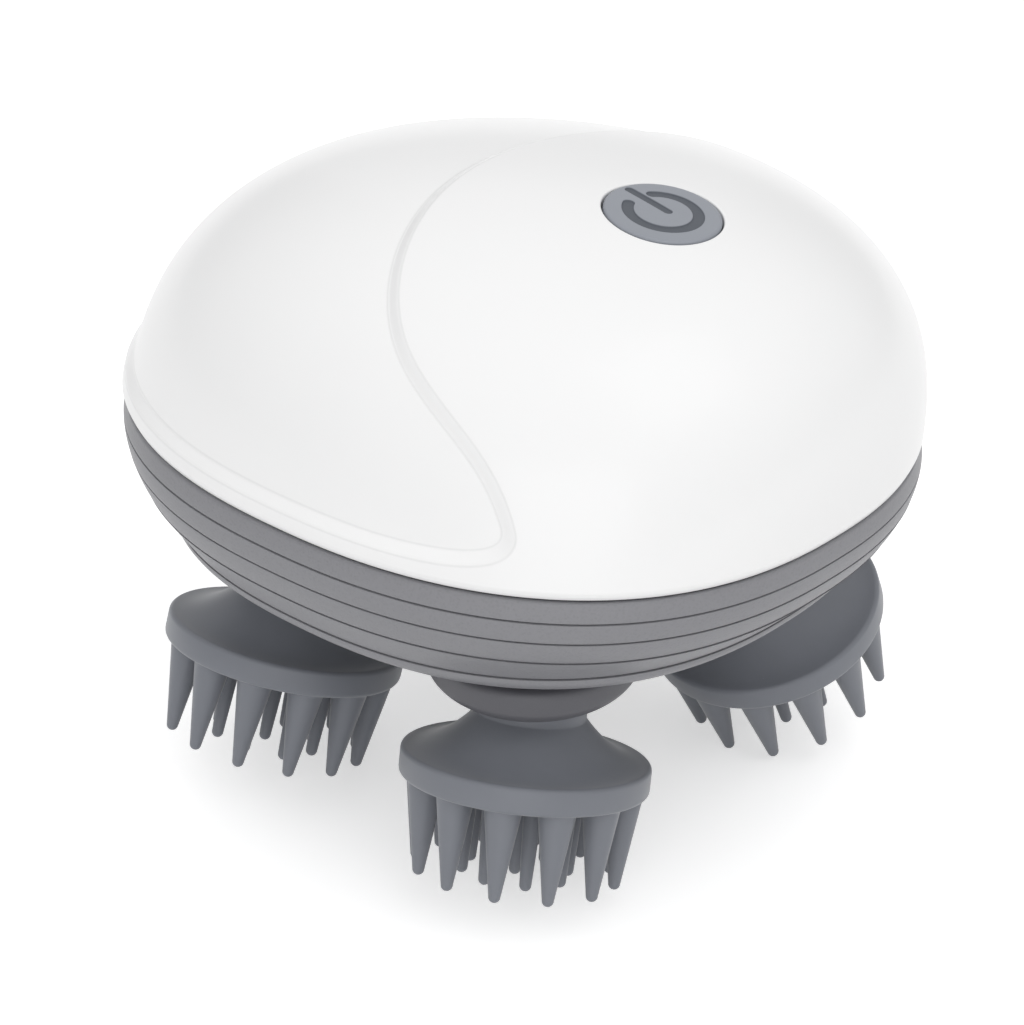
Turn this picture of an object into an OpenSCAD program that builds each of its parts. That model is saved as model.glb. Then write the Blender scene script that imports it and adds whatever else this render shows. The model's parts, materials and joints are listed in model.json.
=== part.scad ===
// Electric scalp massager: a palm-sized domed housing that stands on four tilted silicone heads.
// One motor turns a central wheel, which turns four crank shafts.
// Millimetres, +Z up. The origin lies on the floor, under the middle of the housing.
// X is the short way across the housing and Y is the long way.

/* [Housing] */
// Half the width of the housing at the seam
half_w = 49.6; // [47:0.1:54]
// Half the length of the housing at the seam
half_l = 56.8; // [54:0.1:62]
// How far the drive and the seam outline lie from the middle of the whole, along X
middle_x = -0.5; // [-2:0.1:2]
// Height of the seam between the two shells above the floor
seam_z = 58.3; // [57:0.1:62]
// Roundness of the seam outline, 2 is an ellipse
plan_power = 2.32; // [2:0.01:2.8]
// How much wider the outline is towards +Y, as a share of its width
egg = 0.045; // [0:0.005:0.08]
// Wall of both shells
wall = 2.2; // [1.6:0.1:2.6]
// Thickness of the gasket in the seam
gasket_t = 0.4; // [0.3:0.05:0.8]

/* [Crown] */
// Straight band of the upper shell above the seam
band_h = 1.6; // [0.5:0.1:4]
// Rise of the crown above the band
crown_h = 35.4; // [33:0.1:40]
// Profile of the crown, 2 is an ellipse
crown_power = 2.46; // [2:0.01:3]
// Roundness of the outline near the crown's top
top_power = 1.89; // [1.8:0.01:2.3]
// How much wider the crown's outline gets towards +Y near its top
crown_egg = 0.04; // [0:0.005:0.08]
// How far the crown swells out above the seam, as a share of its width
crown_swell = 0.009; // [0:0.001:0.02]
// How far the crown leans along X
lean_x = 10.5; // [0:0.5:12]
// How far the crown leans along Y
lean_y = 0.5; // [0:0.1:2]
// How much the crown's top falls towards +X
slope_x = -0.18; // [-0.2:0.01:0]
// How much the crown's top falls towards +Y
slope_y = -0.08; // [-0.1:0.01:0]

/* [Palm panel] */
// Depth of the recessed panel
panel_depth = 0.9; // [0.4:0.1:1.4]
// Width of the soft step at the panel's edge
panel_ramp = 2.4; // [1.5:0.1:4]
// Height of the raised rim under the panel
panel_rim = 4.2; // [3:0.1:8]
// Half the width of the raised tongue that the panel goes round
tongue_half_w = 43.6; // [40:0.1:46]
// Length of the tongue's rounded end
tongue_l = 29.2; // [24:0.1:34]
// Where the tongue's rounded end begins, along Y
tongue_y = -22; // [-26:0.5:-18]

/* [Lower shell] */
// Height of the flat underside above the floor
under_z = 39.3; // [38.6:0.1:40]
// Depth of the step under each band
step_d = 0.5; // [0.2:0.05:0.8]
// Height of each step
step_h = 0.5; // [0.3:0.05:0.8]

/* [Massage heads] */
// Radius of a head's disc
disc_r = 17.6; // [15:0.1:17.8]
// Height of the disc's rim
rim_h = 4; // [3:0.1:5]
// Distance from the crank's pivot down to the disc's upper edge
disc_drop = 9.6; // [9:0.1:11.5]
// Radius of the neck
neck_r = 7.8; // [7.6:0.1:8]
// Tilt of each head from upright
tilt = 19.8; // [14:0.1:20]
// Length of a massage finger
finger_l = 13.6; // [10:0.1:13.7]
// Radius of an outer finger at its root
finger_r = 2.6; // [1.8:0.05:2.7]
// Radius of an inner finger at its root
inner_finger_r = 1.4; // [1.2:0.05:2]
// Radius of a finger's rounded tip
tip_r = 0.85; // [0.6:0.05:1.2]
// Fingers in the outer ring
outer_n = 12; // [8:1:14]
// Radius of the outer ring
outer_ring_r = 14.2; // [12:0.1:14.3]
// Fingers in the inner ring
inner_n = 8; // [5:1:8]
// Radius of the inner ring
inner_ring_r = 7.6; // [6.5:0.1:8.2]
// Direction in which each head leans at rest: front, right, left and rear head
lean_dir = [206, -10, 182.5, 20];
// Turn of each head's fingers about its own axis
finger_turn = [-4.6, 20.4, 3.8, 5];

/* [Gears] */
// Teeth of the centre wheel's lower ring
sun_teeth = 35; // [33:1:36]
// Teeth of each crank gear
crank_teeth = 30; // [28:1:31]
// Module of the lower gears
crank_module = 1; // [0.98:0.01:1.02]
// Teeth of the centre wheel's upper ring
wheel_teeth = 54; // [48:1:56]
// Teeth of the motor's pinion
pinion_teeth = 14; // [13:1:16]
// Module of the upper gears
motor_module = 0.8; // [0.75:0.01:0.82]
// Thickness of the lower gears
crank_gear_h = 4.5; // [3:0.1:4.8]
// Thickness of the upper gears
wheel_h = 3.4; // [2.5:0.1:3.6]
// Play between meshing teeth, along the pitch circle
backlash = 0.16; // [0.1:0.01:0.3]

/* [Shafts and bushes] */
// Radius of a crank shaft
shaft_r = 2.5; // [2:0.05:2.6]
// Radius of the slanted stub that carries a head
stub_r = 2.6; // [2.5:0.05:3]
// Radius of the fixed centre pin
pin_r = 2; // [1.5:0.05:2.4]
// Outer radius of a bush
bush_r = 4.5; // [4:0.05:5]
// Radius of a bush's flange
bush_flange_r = 6; // [5.5:0.1:6.5]
// Running clearance of a shaft in its bush
run = 0.03; // [0.02:0.005:0.06]
// Clearance between parts that fit inside one another
fit = 0.02; // [0.01:0.005:0.05]

/* [Collars] */
// Radius of a collar at its widest
collar_r = 14.9; // [13.5:0.1:15]
// Radius of a collar where it meets the underside
collar_top_r = 12.9; // [12:0.1:13]
// Radius of the opening in a collar's bottom
mouth_r = 9.3; // [9.1:0.1:9.6]

/* [Button] */
// Where the button's centre lies, X and Y
button_xy = [2.7, -22.7];
// Radius of the button
button_r = 8.15; // [6:0.05:9]
// Tilt of the button from level
button_tilt = 8.2; // [6:0.1:10]
// Direction in which the button's face leans
button_dir = -59; // [-70:1:-45]
// Gap round the button
button_gap = 0.25; // [0.15:0.05:0.4]
// How far the button travels
button_travel = 0.5; // [0.3:0.1:0.55]
// How far the button's face lies below the crown around it
button_sink = 0.3; // [0.1:0.05:0.5]

/* [Drive and power] */
// Radius of the motor
motor_r = 12; // [10:0.1:12.2]
// Length of the motor's can
motor_l = 24; // [20:0.5:24]
// Radius of the motor's shaft
motor_shaft_r = 1; // [0.75:0.05:1.2]
// Radius of the battery
battery_r = 9.15; // [7:0.05:9.2]
// Length of the battery
battery_l = 65; // [50:0.5:65]
// Distance of the battery's axis from the middle, along Y
battery_y = -22.7; // [-24:0.1:-21]
// Thickness of the frame that carries the motor and battery
frame_t = 2.3; // [2:0.1:2.6]

/* [Hidden] */

$fn = 48;
white = "white";
slate = "slategray";
grey = "gray";
dark_grey = "dimgray";
steel = "silver";
brass = "gold";
acetal = "ivory";
board_green = "darkgreen";

FRONT = 0;
RIGHT = 1;
LEFT = 2;
REAR = 3;

// ---- Layout ----
// Distance of each crank shaft from the middle, along X and along Y
shaft_centre = (sun_teeth + crank_teeth) * crank_module / 2;
shaft_off = shaft_centre / sqrt(2);
shaft_dir = [225, 315, 135, 45];
motor_y = (wheel_teeth + pinion_teeth) * motor_module / 2;

// The pivot's height puts the lowest finger tip on the floor
reach = disc_drop + rim_h + finger_l;
pivot_z = (reach - tip_r) * cos(tilt) + outer_ring_r * sin(tilt) + tip_r;

// Floors of the gear room
floor_t = 2.2;
floor_top = under_z + floor_t;
bush_top = floor_top + 4.6;
bush_flange_t = 1;
gear_z = bush_top + 0.3;
wheel_z = gear_z + crank_gear_h + 0.6;
frame_z = wheel_z + wheel_h + 0.9;
frame_top = frame_z + frame_t;

// ---- Outline of the housing ----
function spow(v, p) = sign(v) * pow(abs(v), p);
// A point of a rounded outline at angle t, its width growing by the share e towards +Y
function outline_pt(a, b, n, t, e = egg) =
    let (x = a * spow(cos(t), 2 / n), y = b * spow(sin(t), 2 / n))
    [x * (1 + e * y / half_l), y];
function outline(a, b, n, count) =
    [for (i = [0 : count - 1]) outline_pt(a, b, n, 360 * i / count)];

// A point of the crown: t goes round, q goes from the band (0) to the top (1)
function crown_k(s) = (1 + crown_swell) * pow(1 - pow(s, crown_power), 1 / crown_power);
function crown_n(s) = plan_power + (top_power - plan_power) * s;
function crown_rise(x, y, s, inset) =
    seam_z + band_h + (crown_h - inset) * s + s * (slope_x * x + slope_y * y);
function crown_pt(t, q, inset) =
    let (s = sin(90 * q), k = crown_k(s),
        p = outline_pt((half_w - inset) * k, (half_l - inset) * k, crown_n(s), t, egg + crown_egg * s),
        x = p[0] + lean_x * s, y = p[1] + lean_y * s)
    [x, y, crown_rise(x, y, s, inset)];

// Signed distance outside the tongue, worked out from the tongue's outline
function tongue_gap(p, s) =
    let (u = abs(p[0] - lean_x * s), v = p[1] - lean_y * s - tongue_y,
        a = u / tongue_half_w, b = max(v, 0) / tongue_l,
        f = pow(a, 1.5) + pow(b, 3.5),
        fu = 1.5 * sqrt(a) / tongue_half_w,
        fv = 3.5 * pow(b, 2.5) / tongue_l,
        side = tongue_half_w + 0.2 * min(v, 0))
    v <= 0 ? u - side
        : 1.5 * (f - pow(f, 1 / 3)) / max(norm([fu, fv]), 0.001);
// Distance inside the panel: it stays above the rim and ends in a tip beside the tongue
function panel_inside(p, s) =
    min(tongue_gap(p, s), p[2] - seam_z - panel_rim + panel_ramp / 2);
function smooth(v) = let (c = max(0, min(1, v))) c * c * (3 - 2 * c);
// The outer surface, with the panel sunk along the surface's own slope
function skin_pt(t, q) =
    let (s = sin(90 * q),
        p = crown_pt(t, q, 0),
        d = panel_depth * smooth(panel_inside(p, s) / panel_ramp),
        w = d == 0 ? p : crown_pt(t, q, 1),
        n = (p - w) / max(norm(p - w), 0.001))
    d == 0 ? p : p - n * d;

// A closed body from rings of equal count, with a point at each end
module loft(rings, start, end) {
    n = len(rings[0]);
    m = len(rings);
    pts = concat([start], [for (r = rings) for (p = r) p], [end]);
    last = 1 + n * m;
    faces = concat(
        [for (i = [0 : n - 1]) [0, 1 + (i + 1) % n, 1 + i]],
        [for (j = [0 : m - 2]) for (i = [0 : n - 1])
            let (a = 1 + j * n + i, b = 1 + j * n + (i + 1) % n)
            each [[a, b, b + n], [a, b + n, a + n]]],
        [for (i = [0 : n - 1]) [last, 1 + (m - 1) * n + i, 1 + (m - 1) * n + (i + 1) % n]]);
    polyhedron(pts, faces, convexity = 6);
}
// A closed ring-shaped body: the last ring joins the first
module loft_ring(rings) {
    n = len(rings[0]);
    m = len(rings);
    pts = [for (r = rings) for (p = r) p];
    faces = [for (j = [0 : m - 1]) for (i = [0 : n - 1])
        let (a = j * n + i, b = j * n + (i + 1) % n,
            c = ((j + 1) % m) * n + (i + 1) % n, d = ((j + 1) % m) * n + i)
        each [[a, b, c], [a, c, d]]];
    polyhedron(pts, faces, convexity = 6);
}

// ---- Upper shell ----
around_n = 72;
crown_rows = 22;
inner_rows = 7;
function row_q(i, count) = (i + 0.35) / count;
module crown_body() {
    outer = [for (i = [0 : crown_rows - 1])
        [for (k = [0 : around_n - 1]) skin_pt(360 * k / around_n, 1 - row_q(i, crown_rows))]];
    edge_z = seam_z + gasket_t;
    edge = [for (p = outline(half_w, half_l, plan_power, around_n)) [p[0], p[1], edge_z]];
    inner_edge = [for (p = outline(half_w - wall, half_l - wall, plan_power, around_n))
        [p[0], p[1], edge_z]];
    inner = [for (i = [0 : inner_rows - 1])
        [for (k = [0 : around_n - 1])
            crown_pt(360 * k / around_n, row_q(i, inner_rows), wall)]];
    loft(concat(outer, [edge, inner_edge], inner), skin_pt(0, 1), crown_pt(0, 1, wall));
}

// ---- Lower shell ----
// Each band: height of its lower edge above the underside, and how far it stands out from the seam
band_out = [[seam_z - under_z, 0, 0], [16.1, 0.7, 0.3], [12.7, 0.7, -0.6],
    [8.6, -0.4, -2.9], [3.7, -3, -7.6]];
band_top = [for (b = band_out) [b[0], half_w + b[1], half_l + b[2]]];
// The flat underside ends this far inside the seam outline
under_in = [8.1, 14.3];
under_half = [half_w - under_in[0], half_l - under_in[1]];
under_power = 2.6;
corner_rows = 4;
function flat_ring(z, a, b, n) = [for (p = outline(a, b, n, around_n)) [p[0], p[1], z]];
// The rounded lower edge runs from the last band to the flat underside
function corner_ring(w, inset) =
    let (last = band_top[len(band_top) - 1], c = 1 - cos(90 * w), s = sin(90 * w),
        a = last[1] + (under_half[0] - last[1]) * c - inset,
        b = last[2] + (under_half[1] - last[2]) * c - inset,
        n = plan_power + (under_power - plan_power) * c)
    flat_ring(under_z + (last[0] - step_h) * (1 - s), a - step_d, b - step_d, n);
module lower_body() {
    z0 = under_z;
    // Each band ends in a step inwards, and the next band swells out again below it
    bands = [for (i = [0 : len(band_top) - 1])
        let (g = band_top[i], z = z0 + g[0])
        each (i == 0 ? [flat_ring(z, g[1], g[2], plan_power)]
            : [flat_ring(z, g[1], g[2], plan_power),
                flat_ring(z, g[1] - step_d, g[2] - step_d, plan_power),
                flat_ring(z - step_h, g[1] - step_d, g[2] - step_d, plan_power)])];
    corner = [for (i = [1 : corner_rows]) corner_ring(i / corner_rows, 0)];
    hole = plate_half + [plate_gap, plate_gap];
    seat = hole + [plate_flange + 0.2, plate_flange + 0.2];
    lip = [flat_ring(z0, hole[0], hole[1], under_power),
        flat_ring(floor_top, hole[0], hole[1], under_power),
        flat_ring(floor_top, seat[0], seat[1], under_power)];
    inner = [for (i = [len(band_top) - 1 : -1 : 1])
        let (g = band_top[i], z = z0 + g[0])
        flat_ring(z, g[1] - wall - step_d, g[2] - wall - step_d, plan_power)];
    top_in = [flat_ring(seam_z, half_w - wall, half_l - wall, plan_power)];
    loft_ring(concat(bands, corner, lip, inner, top_in));
}

// ---- Underside plate ----
plate_in = 2.7;
plate_half = [under_half[0] - plate_in, under_half[1] - plate_in];
plate_gap = 0.1;
plate_flange = 1.8;
plate_flange_t = 1;
post_r = 3.4;
post_in = 3.6;
post_aside = 6.5;
post_x = plate_half[0] - post_in;
post_y = plate_half[1] - post_in - 0.2;
post_at = [[post_x, 0], [-post_x, 0], [-post_aside, post_y], [post_aside, -post_y]];
screw_r = 1.25;
screw_hole_r = 1.3;
screw_head_r = 2.6;
screw_head_h = 1.5;
spigot_r = 8.7;
pad_r = 8;
pad_h = 0.6;
pin_seat = floor_top + 3;

module placed() {
    translate([middle_x, 0, 0]) children();
}
module at_shaft(i) {
    rotate([0, 0, shaft_dir[i]]) translate([shaft_centre, 0, 0])
        rotate([0, 0, -shaft_dir[i]]) children();
}
module plate_outline(grow) {
    polygon(outline(plate_half[0] + grow, plate_half[1] + grow, under_power, around_n));
}

// ---- Collar under the housing, with the hub that holds a crank's bush ----
hub_r = 7;
hub_bottom = pivot_z + 6.8;
ceiling_z = hub_bottom + 1;
shoulder_z = under_z - 0.9;
bulge_z = under_z - 3.6;
collar_low = pivot_z + 2;
collar_wall = 2;
// Quarter round from the widest ring down to the mouth, a little flatter than a circle
bowl_power = 1.15;
function round_pts(r_in, r_out, z_low, z_high, count) =
    [for (i = [0 : count]) let (w = 90 * i / count)
        [r_in + (r_out - r_in) * pow(cos(w), bowl_power),
            z_high - (z_high - z_low) * pow(sin(w), bowl_power)]];
function backwards(list) = [for (i = [len(list) - 1 : -1 : 0]) list[i]];
module collar_profile() {
    low = collar_low;
    inner_r = collar_r - collar_wall;
    polygon(concat(
        [[bush_r + fit, bush_top - bush_flange_t], [spigot_r, bush_top - bush_flange_t],
            [spigot_r, under_z], [collar_top_r, under_z], [collar_r - 0.3, shoulder_z + 0.4],
            [collar_r, shoulder_z]],
        round_pts(mouth_r + 0.7, collar_r, low, bulge_z, 8),
        [[mouth_r, low]],
        backwards(round_pts(mouth_r, inner_r, low + collar_wall, bulge_z, 4)),
        [[inner_r - 0.6, ceiling_z], [hub_r, ceiling_z], [hub_r, hub_bottom],
            [bush_r + fit, hub_bottom]]));
}
module collar(i) {
    color(dark_grey) placed() at_shaft(i) rotate_extrude($fn = 96) collar_profile();
}

// ---- Bush and seal of a crank shaft ----
seal_h = 1.5;
module shaft_bush(i) {
    color(brass) placed() at_shaft(i) difference() {
        union() {
            translate([0, 0, hub_bottom + seal_h + 0.1])
                cylinder(r = bush_r, h = bush_top - hub_bottom - seal_h - 0.1);
            translate([0, 0, bush_top - bush_flange_t]) cylinder(r = bush_flange_r, h = bush_flange_t);
        }
        cylinder(r = shaft_r + run, h = bush_top + 1);
    }
}
module shaft_seal(i) {
    color(dark_grey) placed() at_shaft(i) translate([0, 0, hub_bottom]) difference() {
        cylinder(r = bush_r, h = seal_h);
        translate([0, 0, -1]) cylinder(r = shaft_r + 0.06, h = seal_h + 2);
    }
}

// ---- A head's own frame: its origin is the pivot and its axis points down and outwards ----
module in_head(i) {
    at_shaft(i) translate([0, 0, pivot_z]) rotate([0, 0, lean_dir[i]])
        rotate([0, 180 - tilt, 0]) children();
}

// ---- Crank shaft with its slanted stub ----
stub_l = 10.2;
elbow_r = 2.75;
shaft_top = frame_top - 0.5;
module crank_shaft(i) {
    color(steel) placed() {
        at_shaft(i) translate([0, 0, pivot_z]) cylinder(r = shaft_r, h = shaft_top - pivot_z);
        in_head(i) cylinder(r = stub_r, h = stub_l);
        at_shaft(i) translate([0, 0, pivot_z]) sphere(r = elbow_r);
    }
}

// ---- Rigid core inside a head: a socket on the stub and a disc that backs the fingers ----
core_top = 1.4;
core_r = 5.8;
core_disc_r = 13.5;
core_disc_t = 1.6;
core_bottom = disc_drop + rim_h - 1.5;
module head_core(i) {
    color(acetal) placed() in_head(i) difference() {
        union() {
            translate([0, 0, core_top]) cylinder(r = core_r, h = core_bottom - core_top);
            translate([0, 0, core_bottom - core_disc_t]) cylinder(r = core_disc_r, h = core_disc_t);
        }
        translate([0, 0, core_top - 1]) cylinder(r = stub_r + fit, h = stub_l + 1.1 - core_top);
    }
}

// ---- Silicone head: neck, flared bell, disc and massage fingers ----
neck_top = -4.5;
neck_mouth_r = 5;
flare_power = 1.9;
edge_r = 0.7;
neck_len = 3.8;
skin_gap = 0.02;
// Height of the bell's upper surface at radius r
function bell_h(r) = let (rim_in = disc_r - edge_r)
    disc_drop - (disc_drop - neck_len) * pow((rim_in - r) / (rim_in - neck_r), flare_power);
bell_n = 9;
module bell_profile() {
    bottom = disc_drop + rim_h;
    rim_in = disc_r - edge_r;
    polygon(concat(
        // The neck's top is drawn in, so that it stays clear of the hub as the head turns
        [[neck_mouth_r, neck_top], [neck_r - 1.4, neck_top], [neck_r - 0.4, neck_top + 1.3],
            [neck_r, neck_top + 3.3]],
        [for (k = [0 : bell_n])
            let (r = neck_r + (rim_in - neck_r) * pow(k / bell_n, 1.4)) [r, bell_h(r)]],
        [for (w = [30 : 30 : 90]) [rim_in + edge_r * sin(w), disc_drop + edge_r * (1 - cos(w))]],
        [for (w = [0 : 30 : 90]) [rim_in + edge_r * cos(w), bottom - edge_r * (1 - sin(w))]],
        [[0, bottom], [0, core_bottom + skin_gap], [core_disc_r + skin_gap, core_bottom + skin_gap],
            [core_disc_r + skin_gap, core_bottom - core_disc_t - skin_gap],
            [core_r + skin_gap, core_bottom - core_disc_t - skin_gap],
            [core_r + skin_gap, core_top - skin_gap], [neck_mouth_r, core_top - skin_gap]]));
}
module finger(r, a, root_r) {
    rotate([0, 0, a]) translate([r, 0, disc_drop + rim_h - 0.4]) rotate_extrude($fn = 24)
        polygon(concat([[0, 0], [root_r, 0]],
            [for (w = [15 : 25 : 65]) [tip_r * cos(w), finger_l + 0.4 - tip_r * (1 - sin(w))]],
            [[0, finger_l + 0.4]]));
}
module massage_head(i) {
    color(slate) placed() in_head(i) union() {
        rotate_extrude($fn = 96) bell_profile();
        for (k = [0 : outer_n - 1])
            finger(outer_ring_r, 180 + finger_turn[i] + 360 * k / outer_n, finger_r);
        for (k = [0 : inner_n - 1])
            finger(inner_ring_r, finger_turn[i] + 360 * (k + 0.5) / inner_n, inner_finger_r);
        finger(0, 0, inner_finger_r);
    }
}

// ---- Gears ----
pressure_angle = 20;
addendum = 0.85;
dedendum = 1.15;
function inv(r, base) = r <= base ? 0 : let (a = acos(base / r)) tan(a) * 180 / PI - a;
// Outline of a spur gear with one tooth centred on +X
function gear_pts(teeth, mod) =
    let (rp = teeth * mod / 2, base = rp * cos(pressure_angle),
        root = rp - dedendum * mod, tip = rp + addendum * mod,
        half = 90 / teeth - backlash / 2 / rp * 180 / PI / 2,
        radii = [root, max(root + 0.05, min(base, rp - 0.4 * mod)), rp, (rp + tip) / 2, tip],
        flank = [for (r = radii) [r, half + inv(rp, base) - inv(r, base)]])
    [for (k = [0 : teeth - 1]) let (c = 360 * k / teeth)
        each concat([for (f = flank) [f[0] * cos(c - f[1]), f[0] * sin(c - f[1])]],
            [for (j = [len(flank) - 1 : -1 : 0])
                let (f = flank[j]) [f[0] * cos(c + f[1]), f[0] * sin(c + f[1])]])];
module gear(teeth, mod, h) {
    linear_extrude(height = h) polygon(gear_pts(teeth, mod));
}
// Turn that puts a gap of the driven gear over the driving gear's tooth, for a driven gear at angle dir
function mesh_turn(dir, drive_teeth, driven_teeth) =
    let (pitch = 360 / drive_teeth, past = dir - pitch * floor(dir / pitch))
    dir + 180 + past * drive_teeth / driven_teeth - 180 / driven_teeth;
gear_hub_r = 6;
module crank_gear(i) {
    color(acetal) placed() at_shaft(i) translate([0, 0, gear_z]) difference() {
        rotate([0, 0, mesh_turn(shaft_dir[i], sun_teeth, crank_teeth)])
            gear(crank_teeth, crank_module, crank_gear_h);
        translate([0, 0, -1]) cylinder(r = shaft_r + fit, h = crank_gear_h + 2);
        // Recessed web between the hub and the rim
        translate([0, 0, crank_gear_h - 1.2]) difference() {
            cylinder(r = crank_teeth * crank_module / 2 - 3.2, h = 2);
            translate([0, 0, -1]) cylinder(r = gear_hub_r, h = 4);
        }
    }
}
module centre_wheel() {
    color(acetal) placed() difference() {
        union() {
            translate([0, 0, gear_z]) gear(sun_teeth, crank_module, crank_gear_h);
            translate([0, 0, gear_z + crank_gear_h - 0.1])
                cylinder(r = 9, h = wheel_z - gear_z - crank_gear_h + 0.2);
            translate([0, 0, wheel_z]) gear(wheel_teeth, motor_module, wheel_h);
        }
        translate([0, 0, gear_z - 1]) cylinder(r = pin_r + run, h = frame_z - gear_z + 1);
        // Round lightening holes in the large wheel
        for (k = [0 : 5]) rotate([0, 0, 60 * k]) translate([14.5, 0, wheel_z - 0.5])
            cylinder(r = 3.2, h = wheel_h + 1);
    }
}
module centre_pin() {
    color(steel) placed() translate([0, 0, pin_seat]) cylinder(r = pin_r, h = frame_z + 1.2 - pin_seat);
}
module pinion() {
    color(brass) placed() translate([0, motor_y, wheel_z - 0.2]) difference() {
        rotate([0, 0, mesh_turn(90, wheel_teeth, pinion_teeth)])
            gear(pinion_teeth, motor_module, wheel_h + 0.5);
        translate([0, 0, -1]) cylinder(r = motor_shaft_r + fit, h = wheel_h + 3);
    }
}
module motor_shaft() {
    color(steel) placed() translate([0, motor_y, wheel_z - 0.4])
        cylinder(r = motor_shaft_r, h = frame_top + 4 - wheel_z);
}
motor_boss_r = 3.5;
module motor() {
    color(steel) placed() translate([0, motor_y, frame_top]) difference() {
        union() {
            cylinder(r = motor_r, h = motor_l - 0.6);
            cylinder(r = motor_r - 0.6, h = motor_l);
            translate([0, 0, -1.5]) cylinder(r = motor_boss_r, h = 2);
            translate([0, 0, motor_l - 0.1]) cylinder(r = 3, h = 1.1);
            for (s = [-1, 1]) translate([s * 6.5 - 0.4, -1.2, motor_l - 0.1]) cube([0.8, 2.4, 1.6]);
        }
        translate([0, 0, -2]) cylinder(r = motor_shaft_r + run, h = 6.5);
    }
}

// ---- Shell nodes ----
module in_button() {
    top = crown_height(button_xy) - button_sink;
    translate([button_xy[0], button_xy[1], top]) rotate([0, 0, button_dir])
        rotate([0, button_tilt, 0]) children();
}
// Height of the crown over a point, found by halving the range of s
function crown_over(xy, s) =
    let (y = xy[1] - lean_y * s,
        x = (xy[0] - lean_x * s) / (1 + (egg + crown_egg * s) * y / half_l), n = crown_n(s))
    pow(pow(abs(x) / half_w, n) + pow(abs(y) / half_l, n), 1 / n) - crown_k(s);
function crown_find(xy, low, high, i) =
    let (m = (low + high) / 2)
    i == 0 ? m : crown_over(xy, m) < 0 ? crown_find(xy, m, high, i - 1) : crown_find(xy, low, m, i - 1);
function crown_height(xy) = crown_rise(xy[0], xy[1], crown_find(xy, 0.2, 0.999, 24), 0);

module upper_shell() {
    color(white) placed() difference() {
        crown_body();
        in_button() translate([0, 0, -9]) cylinder(r = button_r + button_gap, h = 14);
    }
}
module seam_gasket() {
    color(dark_grey) placed() translate([0, 0, seam_z]) linear_extrude(height = gasket_t) difference() {
        polygon(outline(half_w - 0.5, half_l - 0.5, plan_power, around_n));
        polygon(outline(half_w - wall, half_l - wall, plan_power, around_n));
    }
}
module lower_shell() {
    color(grey) placed() difference() {
        lower_body();
        // Rounded slot for the charging plug
        translate([0, half_l - 8, socket_z]) rotate([-90, 0, 0]) linear_extrude(height = 16) slot_shape(0.3);
    }
}
module underside_plate() {
    color(grey) placed() difference() {
        union() {
            translate([0, 0, under_z]) linear_extrude(height = floor_t) plate_outline(0);
            translate([0, 0, floor_top]) linear_extrude(height = plate_flange_t) plate_outline(plate_flange);
            translate([0, 0, under_z - pad_h]) cylinder(r = pad_r, h = pad_h + 0.1);
            translate([0, 0, under_z + 0.1]) cylinder(r = 4.5, h = gear_z - 0.3 - under_z - 0.1);
            for (p = post_at) translate([p[0], p[1], under_z + 0.1])
                cylinder(r = post_r, h = frame_z - under_z - 0.1);
        }
        for (i = [FRONT : REAR]) at_shaft(i) translate([0, 0, under_z - 1])
            cylinder(r = spigot_r + 0.1, h = floor_t + 3);
        translate([0, 0, pin_seat]) cylinder(r = pin_r + fit, h = 8);
        for (p = post_at) translate([p[0], p[1], 0]) {
            translate([0, 0, under_z - 1]) cylinder(r = screw_head_r + 0.2, h = 1 + screw_head_h + 0.4);
            cylinder(r = screw_hole_r, h = frame_z + 1);
        }
    }
}
module frame_screws() {
    color(steel) placed() for (p = post_at) translate([p[0], p[1], under_z + 0.4]) difference() {
        union() {
            cylinder(r = screw_head_r, h = screw_head_h);
            cylinder(r = screw_r, h = frame_top - 0.5 - under_z - 0.4);
        }
        // Cross recess
        for (a = [0, 90]) rotate([0, 0, a]) translate([-1.6, -0.3, -0.1]) cube([3.2, 0.6, 0.9]);
    }
}

// ---- Frame between the shells: carries the motor, the battery and the button's bracket ----
frame_inset = wall + 0.3;
rim_t = 1.4;
// The crown leans inwards above the seam, so the rim is narrower there
rim_lean = 0.5;
rim_top = seam_z + gasket_t + 3;
saddle_x = 22;
saddle_w = 4;
battery_z = frame_top + 0.8 + battery_r;
module frame_outline(inset) {
    polygon(outline(half_w - inset, half_l - inset, plan_power, around_n));
}
module inner_frame() {
    color(dark_grey) placed() difference() {
        union() {
            translate([0, 0, frame_z]) linear_extrude(height = frame_t) frame_outline(frame_inset);
            // The rim plugs into both shells
            translate([0, 0, frame_z]) linear_extrude(height = seam_z - frame_z) difference() {
                frame_outline(frame_inset);
                frame_outline(frame_inset + rim_t + rim_lean);
            }
            translate([0, 0, frame_z + 1]) linear_extrude(height = rim_top - frame_z - 1) difference() {
                frame_outline(frame_inset + rim_lean);
                frame_outline(frame_inset + rim_t + rim_lean);
            }
            for (s = [-1, 1])
                translate([s * saddle_x - saddle_w / 2, battery_y - battery_r - 1, frame_top - 0.1])
                    cube([saddle_w, 2 * battery_r + 2, battery_r * 0.9 + 0.9]);
            for (s = [-1, 1]) translate([s * 7, socket_board_y + 3, socket_board_z + socket_board_t])
                cylinder(r = 1.6, h = frame_z - socket_board_z - socket_board_t + 0.1);
        }
        for (i = [FRONT : REAR]) at_shaft(i) translate([0, 0, frame_z - 1])
            cylinder(r = shaft_r + run, h = frame_t + 2);
        translate([0, 0, frame_z - 1]) cylinder(r = pin_r + fit, h = 2.3);
        translate([0, motor_y, frame_z - 1]) cylinder(r = motor_boss_r + 0.05, h = frame_t + 2);
        for (p = post_at) translate([p[0], p[1], frame_z - 1]) cylinder(r = screw_hole_r, h = frame_t + 2);
        translate([-40, battery_y, battery_z]) rotate([0, 90, 0]) cylinder(r = battery_r + 0.05, h = 80);
    }
}
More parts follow.
